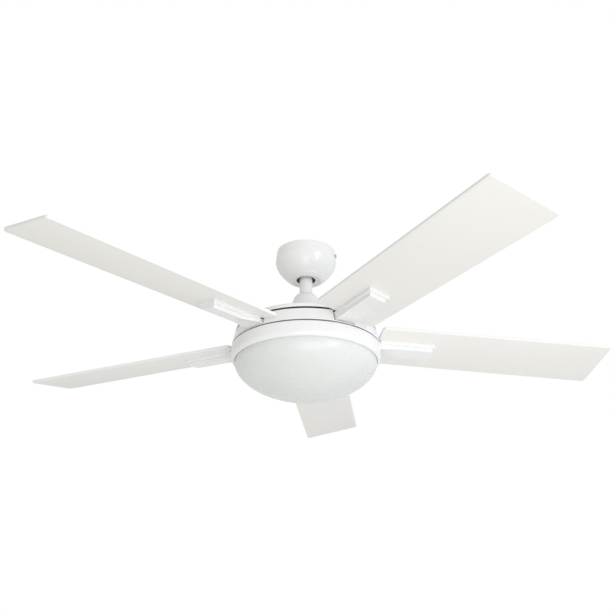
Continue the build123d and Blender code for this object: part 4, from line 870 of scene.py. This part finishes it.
def make_glass(size):
    """Opal bowl with a straight neck, a fire-polished rim and an even wall."""
    high, low, outer = top("glass_bowl"), base("glass_bowl"), rim("glass_bowl")
    t = size.glass_thick
    neck = low + size.glass_bowl_h
    outside = superellipse(outer, size.glass_bowl_h, 1.76, neck, steps=72)
    inside = superellipse(outer - t, size.glass_bowl_h - t, 1.76, neck, steps=60)
    lip = rounded([(*inside[0], 0), (outer - t, high, 1.4 * MM), (outer, high, 1.4 * MM),
                   (*outside[0], 0)], 6)[1:-1]
    outline = lip + outside + list(reversed(inside))
    return dress(lathe("opal_bowl", outline, 256, sharp=60.0), "opal_glass", "glass", "glass_bowl")


def blade_matrix(heading):
    """Frame of one blade: x out along it, y to its lower edge, z = 0 its underside on the axis."""
    size = SETTINGS.fan_sizes
    lift = Matrix.Translation((0, 0, frame_sill() + size.blade_lift))
    tilt = Matrix.Rotation(-size.blade_pitch, 4, "X")
    droop = Matrix.Rotation(size.blade_droop, 4, "Y")
    return Matrix.Rotation(heading, 4, "Z") @ lift @ tilt @ droop


def make_blades(size):
    """Flat laminated blades with softened edges and rounded corners."""
    root = rim("top_cover") + size.blade_gap
    tip, corner = size.blade_tip_r, size.blade_corner_r
    half_root, half_tip = size.blade_root_w / 2, size.blade_tip_w / 2
    outline = rounded([(root, -half_root, corner), (tip, -half_tip, corner), (tip, half_tip, corner),
                       (root, half_root, corner)], 10)
    e, t = size.blade_edge_r, size.blade_thick
    levels = [(0.0, e), (0.13 * e, 0.5 * e), (0.5 * e, 0.13 * e), (e, 0.0),
              (t - e, 0.0), (t - 0.5 * e, 0.13 * e), (t - 0.13 * e, 0.5 * e), (t, e)]
    for number, heading in enumerate(blade_headings(), start=1):
        blade = finish_mesh(slab(outline, levels), "blade_board_%d" % number, sharp=40.0)
        board = blade.data.attributes.new("board", "FLOAT_VECTOR", "POINT")
        for vert in blade.data.vertices:
            board.data[vert.index].vector = vert.co + Vector((number, 0.0, 0.0))
        place(blade, blade_matrix(heading))
        dress(blade, "blade_laminate", "rotor", "blade_%d" % number)


def make_arms():
    """Stepped cast arms, their edges rounded as a casting's are."""
    for number in range(1, BLADE_COUNT + 1):
        node = "blade_arm_%d" % number
        dress(softened(node, "stepped_arm_%d" % number, 0.7 * MM), "white_paint", "rotor", node)


def make_blade_screws(size):
    """Three pan-head screws with fibre washers on the top of every blade."""
    arm_end, spread_y = 254.0 * MM, 10.0 * MM
    places = [(arm_end - 16.0 * MM, 0.0), (arm_end - 54.0 * MM, spread_y), (arm_end - 54.0 * MM, -spread_y)]
    washer_t = 1.0 * MM
    screws, washers = [], []
    for heading in blade_headings():
        for x, y in places:
            seat = blade_matrix(heading) @ Matrix.Translation((x, y, size.blade_thick))
            screw = pan_screw("screw", 4.5 * MM, 2.2 * MM, 2.15 * MM, 14.0 * MM)
            turned = Matrix.Translation((0, 0, washer_t)) @ Matrix.Rotation(x * 900, 4, "Z")
            screws.append(place(screw, seat @ turned))
            ring = rounded([(2.3 * MM, 0.0, 0.1 * MM), (6.0 * MM, 0.0, 0.2 * MM),
                            (6.0 * MM, washer_t, 0.3 * MM), (2.3 * MM, washer_t, 0.2 * MM)], 2)
            washers.append(place(lathe("washer", ring, 40), seat))
    dress(joined("blade_screw_set", screws), "zinc_steel", "rotor", "blade_screws")
    dress(joined("blade_washer_set", washers), "washer_fibre", "rotor", "blade_washers")


def make_windings():
    """A former-wound coil in each pair of slots, laced round the stator."""
    low, high = base("stator_windings"), top("stator_windings")
    outer = rim("stator_windings")
    core_low, core_high = base("stator_core"), top("stator_core")
    coils = 12
    inner = outer - 23.5 * MM
    mesh = bmesh.new()
    for coil in range(coils):
        middle = 2 * math.pi * coil / coils
        span = math.radians(24)
        wire_r = 2.3 * MM
        path = []
        for step in range(48):
            angle = 2 * math.pi * step / 48
            swing = middle + span / 2 * math.copysign(abs(math.cos(angle)) ** 0.5, math.cos(angle))
            rise = math.copysign(abs(math.sin(angle)) ** 0.5, math.sin(angle))
            reach = (inner + outer) / 2 + (3.0 * MM if coil % 2 else -3.0 * MM)
            level = (core_low + core_high) / 2 + rise * ((high - low) / 2 - wire_r)
            path.append(Vector((reach * math.cos(swing), reach * math.sin(swing), level)))
        tube(mesh, path, wire_r, 10)
    return dress(finish_mesh(mesh, "stator_coils", 60.0), "copper_winding", "hanger", "stator_windings")


def tube(mesh, path, radius, sides):
    """A closed tube that follows a loop of points."""
    rings = []
    for index, spot in enumerate(path):
        along = (path[(index + 1) % len(path)] - path[index - 1]).normalized()
        outward = Vector((spot.x, spot.y, 0.0)).normalized()
        side = along.cross(outward).normalized()
        up = side.cross(along).normalized()
        rings.append([mesh.verts.new(spot + radius * (math.cos(a) * side + math.sin(a) * up))
                      for a in (2 * math.pi * k / sides for k in range(sides))])
    for near, far in zip(rings, rings[1:] + rings[:1]):
        for k in range(sides):
            j = (k + 1) % sides
            mesh.faces.new((near[k], near[j], far[j], far[k]))


def make_lamps():
    """Frosted bulbs with rolled screw caps, lying across the bowl."""
    caps, globes = [], []
    low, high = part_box("bulb_caps")
    globe_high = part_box("bulb_globes")[1]
    level = (low.z + high.z) / 2
    cap_r, globe_r = (high.z - low.z) / 2, (globe_high.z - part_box("bulb_globes")[0].z) / 2
    cap_end, tip = high.x, globe_high.x
    cap_start = cap_end - 26.5 * MM
    reach = tip - cap_end
    cap = [(0.0, cap_start), (3.5 * MM, cap_start), (4.5 * MM, cap_start + 1.2 * MM),
           (8.0 * MM, cap_start + 2.5 * MM)]
    turns = 7
    for turn in range(turns * 4):
        along = cap_start + 4.0 * MM + turn * 0.72 * MM
        cap.append((cap_r - 0.5 * MM + 0.5 * MM * math.cos(turn * math.pi / 2), along))
    cap += [(cap_r - 0.2 * MM, cap_end - 0.4 * MM), (cap_r - 0.6 * MM, cap_end), (0.0, cap_end)]
    flank = smooth_line([(cap_r - 0.4 * MM, cap_end), (0.86 * globe_r, cap_end + 0.35 * reach),
                         (globe_r - 0.02 * MM, cap_end + 0.62 * reach),
                         (0.7 * globe_r, cap_end + 0.89 * reach),
                         (0.3 * globe_r, cap_end + 0.985 * reach), (0.0, tip)], 12)
    for side in (-1, 1):
        turn = Matrix.Translation((0, 0, level)) @ Matrix.Rotation(side * math.pi / 2, 4, "Y")
        caps.append(place(lathe("cap", cap, SMALL_ROUND, 50.0), turn))
        globes.append(place(lathe("globe", [(0.0, cap_end)] + flank, 96, 60.0), turn))
    dress(joined("bulb_cap_pair", caps), "cap_brass", "hanger", "bulb_caps")
    dress(joined("bulb_globe_pair", globes), "bulb_glass", "hanger", "bulb_globes")


SOFT_NODES = {
    "hanger_bracket": ("folded_bracket", 0.35 * MM, "zinc_steel", "ceiling_mount"),
    "remote_receiver": ("receiver_case", 0.3 * MM, "ball_black", "ceiling_mount"),
    "motor_coupler": ("coupler_casting", 0.5 * MM, "cast_metal", "hanger"),
    "shaft_nuts": ("shaft_nut_pair", 0.5 * MM, "zinc_steel", "hanger"),
    "lamp_bracket": ("folded_lamp_bracket", 0.3 * MM, "zinc_steel", "hanger"),
    "lampholders": ("porcelain_holders", 0.6 * MM, "holder_white", "hanger"),
    "light_pan": ("pressed_pan", 0.25 * MM, "zinc_steel", "hanger"),
    "reverse_switch_body": ("slide_switch_case", 0.3 * MM, "ball_black", "hanger"),
    "reverse_switch_knob": ("slide_switch_knob", 0.25 * MM, "ball_black", "switch_knob"),
    "rotor_upper_bell": ("upper_motor_bell", 0.6 * MM, "cast_metal", "rotor"),
    "rotor_lower_bell": ("lower_motor_bell", 0.6 * MM, "cast_metal", "rotor"),
    "glass_collar": ("lug_collar", 0.2 * MM, "zinc_steel", "glass"),
}


def make_soft_nodes():
    """Folded, cast and moulded pieces whose CAD shape is right and only wants rounded edges."""
    for node, (name, width, slot, body) in SOFT_NODES.items():
        dress(softened(node, name, width), slot, body, node)


def finish_other_nodes():
    """Give every CAD node that still shows its material."""
    slots = {entry["node"]: entry["material_slot"] for entry in frame["record"]["subparts"]}
    for node, piece in frame["nodes"].items():
        piece.data.materials.clear()
        piece.data.materials.append(material(slots[node]))


# ---------------------------------------------------------------------------------------------
# Studio
def soft_light(name, spot, aim, power, width, height):
    """A rectangular soft box that faces the fan."""
    data = bpy.data.lights.new(name, "AREA")
    data.shape = "RECTANGLE"
    data.size = width
    data.size_y = height
    data.energy = power
    lamp = bpy.data.objects.new(name, data)
    lamp.location = spot
    lamp.rotation_euler = (Vector(aim) - Vector(spot)).to_track_quat("-Z", "Y").to_euler()
    SETTINGS.collection.objects.link(lamp)


def make_stage(stage):
    """Pale floor, white surroundings that are duller on one side, two soft lights and the camera."""
    floor = finish_mesh(slab([(-6.0, -6.0), (6.0, -6.0), (6.0, 6.0), (-6.0, 6.0)],
                             [(-stage.floor_drop - 0.02, 0.0), (-stage.floor_drop, 0.0)]), "studio_floor")
    pale, tree, shader = blank("studio_floor_pale", roughness=0.9)
    where = put(tree, "ShaderNodeTexCoord").outputs["Object"]
    cloud = put(tree, "ShaderNodeTexNoise", {"Vector": where, "Scale": 0.8, "Detail": 3.0})
    tree.links.new(tinted(tree, cloud.outputs[0], (0.85, 0.85, 0.84, 1), (0.89, 0.89, 0.88, 1)),
                   shader.inputs["Base Color"])
    floor.data.materials.append(pale)
    world = bpy.data.worlds.new("studio_white")
    world.use_nodes = True
    tree = world.node_tree
    tree.nodes.clear()
    seen = put(tree, "ShaderNodeBackground", {"Color": (1, 1, 1, 1), "Strength": 1.0})
    heading = put(tree, "ShaderNodeTexCoord").outputs["Generated"]
    across = put(tree, "ShaderNodeSeparateXYZ", {0: heading}).outputs[0]
    sides = tinted(tree, spread(tree, across, -0.9, 0.15), (0.76, 0.77, 0.69, 1), (0.985, 0.99, 1, 1))
    lit = put(tree, "ShaderNodeBackground", {"Color": sides, "Strength": stage.sky})
    path = put(tree, "ShaderNodeLightPath")
    mix = put(tree, "ShaderNodeMixShader", {0: path.outputs["Is Camera Ray"], 1: lit.outputs[0],
                                            2: seen.outputs[0]})
    out = put(tree, "ShaderNodeOutputWorld")
    tree.links.new(mix.outputs[0], out.inputs[0])
    SETTINGS.world = world
    SETTINGS.view_settings.view_transform = "Standard"
    aim = Vector((0.0, 0.0, -stage.aim_drop))
    soft_light("key_light", (1.7, -1.9, -0.55), aim, stage.key, 0.7, 2.2)
    soft_light("fill_light", (0.3, -1.85, -1.6), aim, stage.fill, 1.6, 1.6)
    data = bpy.data.cameras.new("studio_camera")
    data.sensor_width = 36.0
    data.lens = stage.lens
    camera = bpy.data.objects.new("studio_camera", data)
    away = Vector((0.0, -math.cos(stage.view_below), -math.sin(stage.view_below)))
    camera.location = aim + away * stage.view_distance
    camera.rotation_euler = (-away).to_track_quat("-Z", "Y").to_euler()
    data.clip_start = 0.01
    SETTINGS.collection.objects.link(camera)
    SETTINGS.camera = camera


# ---------------------------------------------------------------------------------------------
# Operators and panel
class PieceOperator:
    """What every operator of the fan shares."""
    bl_options = {"REGISTER", "UNDO"}

    def execute(self, context):
        self.build(context.scene)
        return {"FINISHED"}


class FAN_OT_canopy(PieceOperator, bpy.types.Operator):
    """Build the canopy and its two screws"""
    bl_idname = "fan.canopy"
    bl_label = "Canopy"

    def build(self, scene):
        make_canopy(scene.fan_sizes)
        make_canopy_screws(scene.fan_sizes)


class FAN_OT_rod(PieceOperator, bpy.types.Operator):
    """Build the downrod and the bell over its coupling"""
    bl_idname = "fan.rod"
    bl_label = "Downrod and Coupling Bell"

    def build(self, scene):
        make_downrod(scene.fan_sizes)
        make_coupling_cover(scene.fan_sizes)


class FAN_OT_housing(PieceOperator, bpy.types.Operator):
    """Build the top cover, the turning band and the light ring"""
    bl_idname = "fan.housing"
    bl_label = "Housing Rings"

    def build(self, scene):
        make_top_cover(scene.fan_sizes)
        make_band(scene.fan_sizes)
        make_light_ring(scene.fan_sizes)


class FAN_OT_glass(PieceOperator, bpy.types.Operator):
    """Build the opal glass bowl"""
    bl_idname = "fan.glass"
    bl_label = "Glass Bowl"

    def build(self, scene):
        make_glass(scene.fan_sizes)


class FAN_OT_blades(PieceOperator, bpy.types.Operator):
    """Build the blades, their stepped arms, screws and washers"""
    bl_idname = "fan.blades"
    bl_label = "Blades and Arms"

    def build(self, scene):
        make_blades(scene.fan_sizes)
        make_arms()
        make_blade_screws(scene.fan_sizes)


class FAN_OT_insides(PieceOperator, bpy.types.Operator):
    """Build the coils and the lamps, and round the edges of the folded and cast pieces"""
    bl_idname = "fan.insides"
    bl_label = "Motor, Bracket and Lamps"

    def build(self, scene):
        make_windings()
        make_lamps()
        make_soft_nodes()


class FAN_OT_finishes(PieceOperator, bpy.types.Operator):
    """Paint the CAD pieces that show as they are"""
    bl_idname = "fan.finishes"
    bl_label = "Other Finishes"

    def build(self, scene):
        finish_other_nodes()


class FAN_OT_stage(PieceOperator, bpy.types.Operator):
    """Set out the floor, the light and the camera"""
    bl_idname = "fan.stage"
    bl_label = "Studio"

    def build(self, scene):
        make_stage(scene.fan_stage)


OPERATORS = (FAN_OT_canopy, FAN_OT_rod, FAN_OT_housing, FAN_OT_glass, FAN_OT_blades, FAN_OT_insides,
             FAN_OT_finishes, FAN_OT_stage)


class FAN_PT_panel(bpy.types.Panel):
    """Sizes, finishes and build steps of the ceiling fan"""
    bl_idname = "FAN_PT_panel"
    bl_label = "Ceiling Fan"
    bl_space_type = "VIEW_3D"
    bl_region_type = "UI"
    bl_category = "Fan"

    def draw(self, context):
        for title, group in (("Sizes", context.scene.fan_sizes), ("Finishes", context.scene.fan_finish),
                             ("Studio", context.scene.fan_stage)):
            section = self.layout.box()
            section.label(text=title)
            for name in group.__annotations__:
                section.prop(group, name)
        for operator in OPERATORS:
            self.layout.operator(operator.bl_idname)


CLASSES = (FanSizes, FanFinish, FanStage) + OPERATORS + (FAN_PT_panel,)


def register():
    for entry in CLASSES:
        bpy.utils.register_class(entry)
    bpy.types.Scene.fan_sizes = bpy.props.PointerProperty(type=FanSizes)
    bpy.types.Scene.fan_finish = bpy.props.PointerProperty(type=FanFinish)
    bpy.types.Scene.fan_stage = bpy.props.PointerProperty(type=FanStage)


def unregister():
    del bpy.types.Scene.fan_sizes
    del bpy.types.Scene.fan_finish
    del bpy.types.Scene.fan_stage
    for entry in reversed(CLASSES):
        bpy.utils.unregister_class(entry)


def main():
    register()
    for operator in OPERATORS:
        group, name = operator.bl_idname.split(".")
        getattr(getattr(bpy.ops, group), name)()
    bpy.context.view_layer.update()


if __name__ == "__main__":
    main()
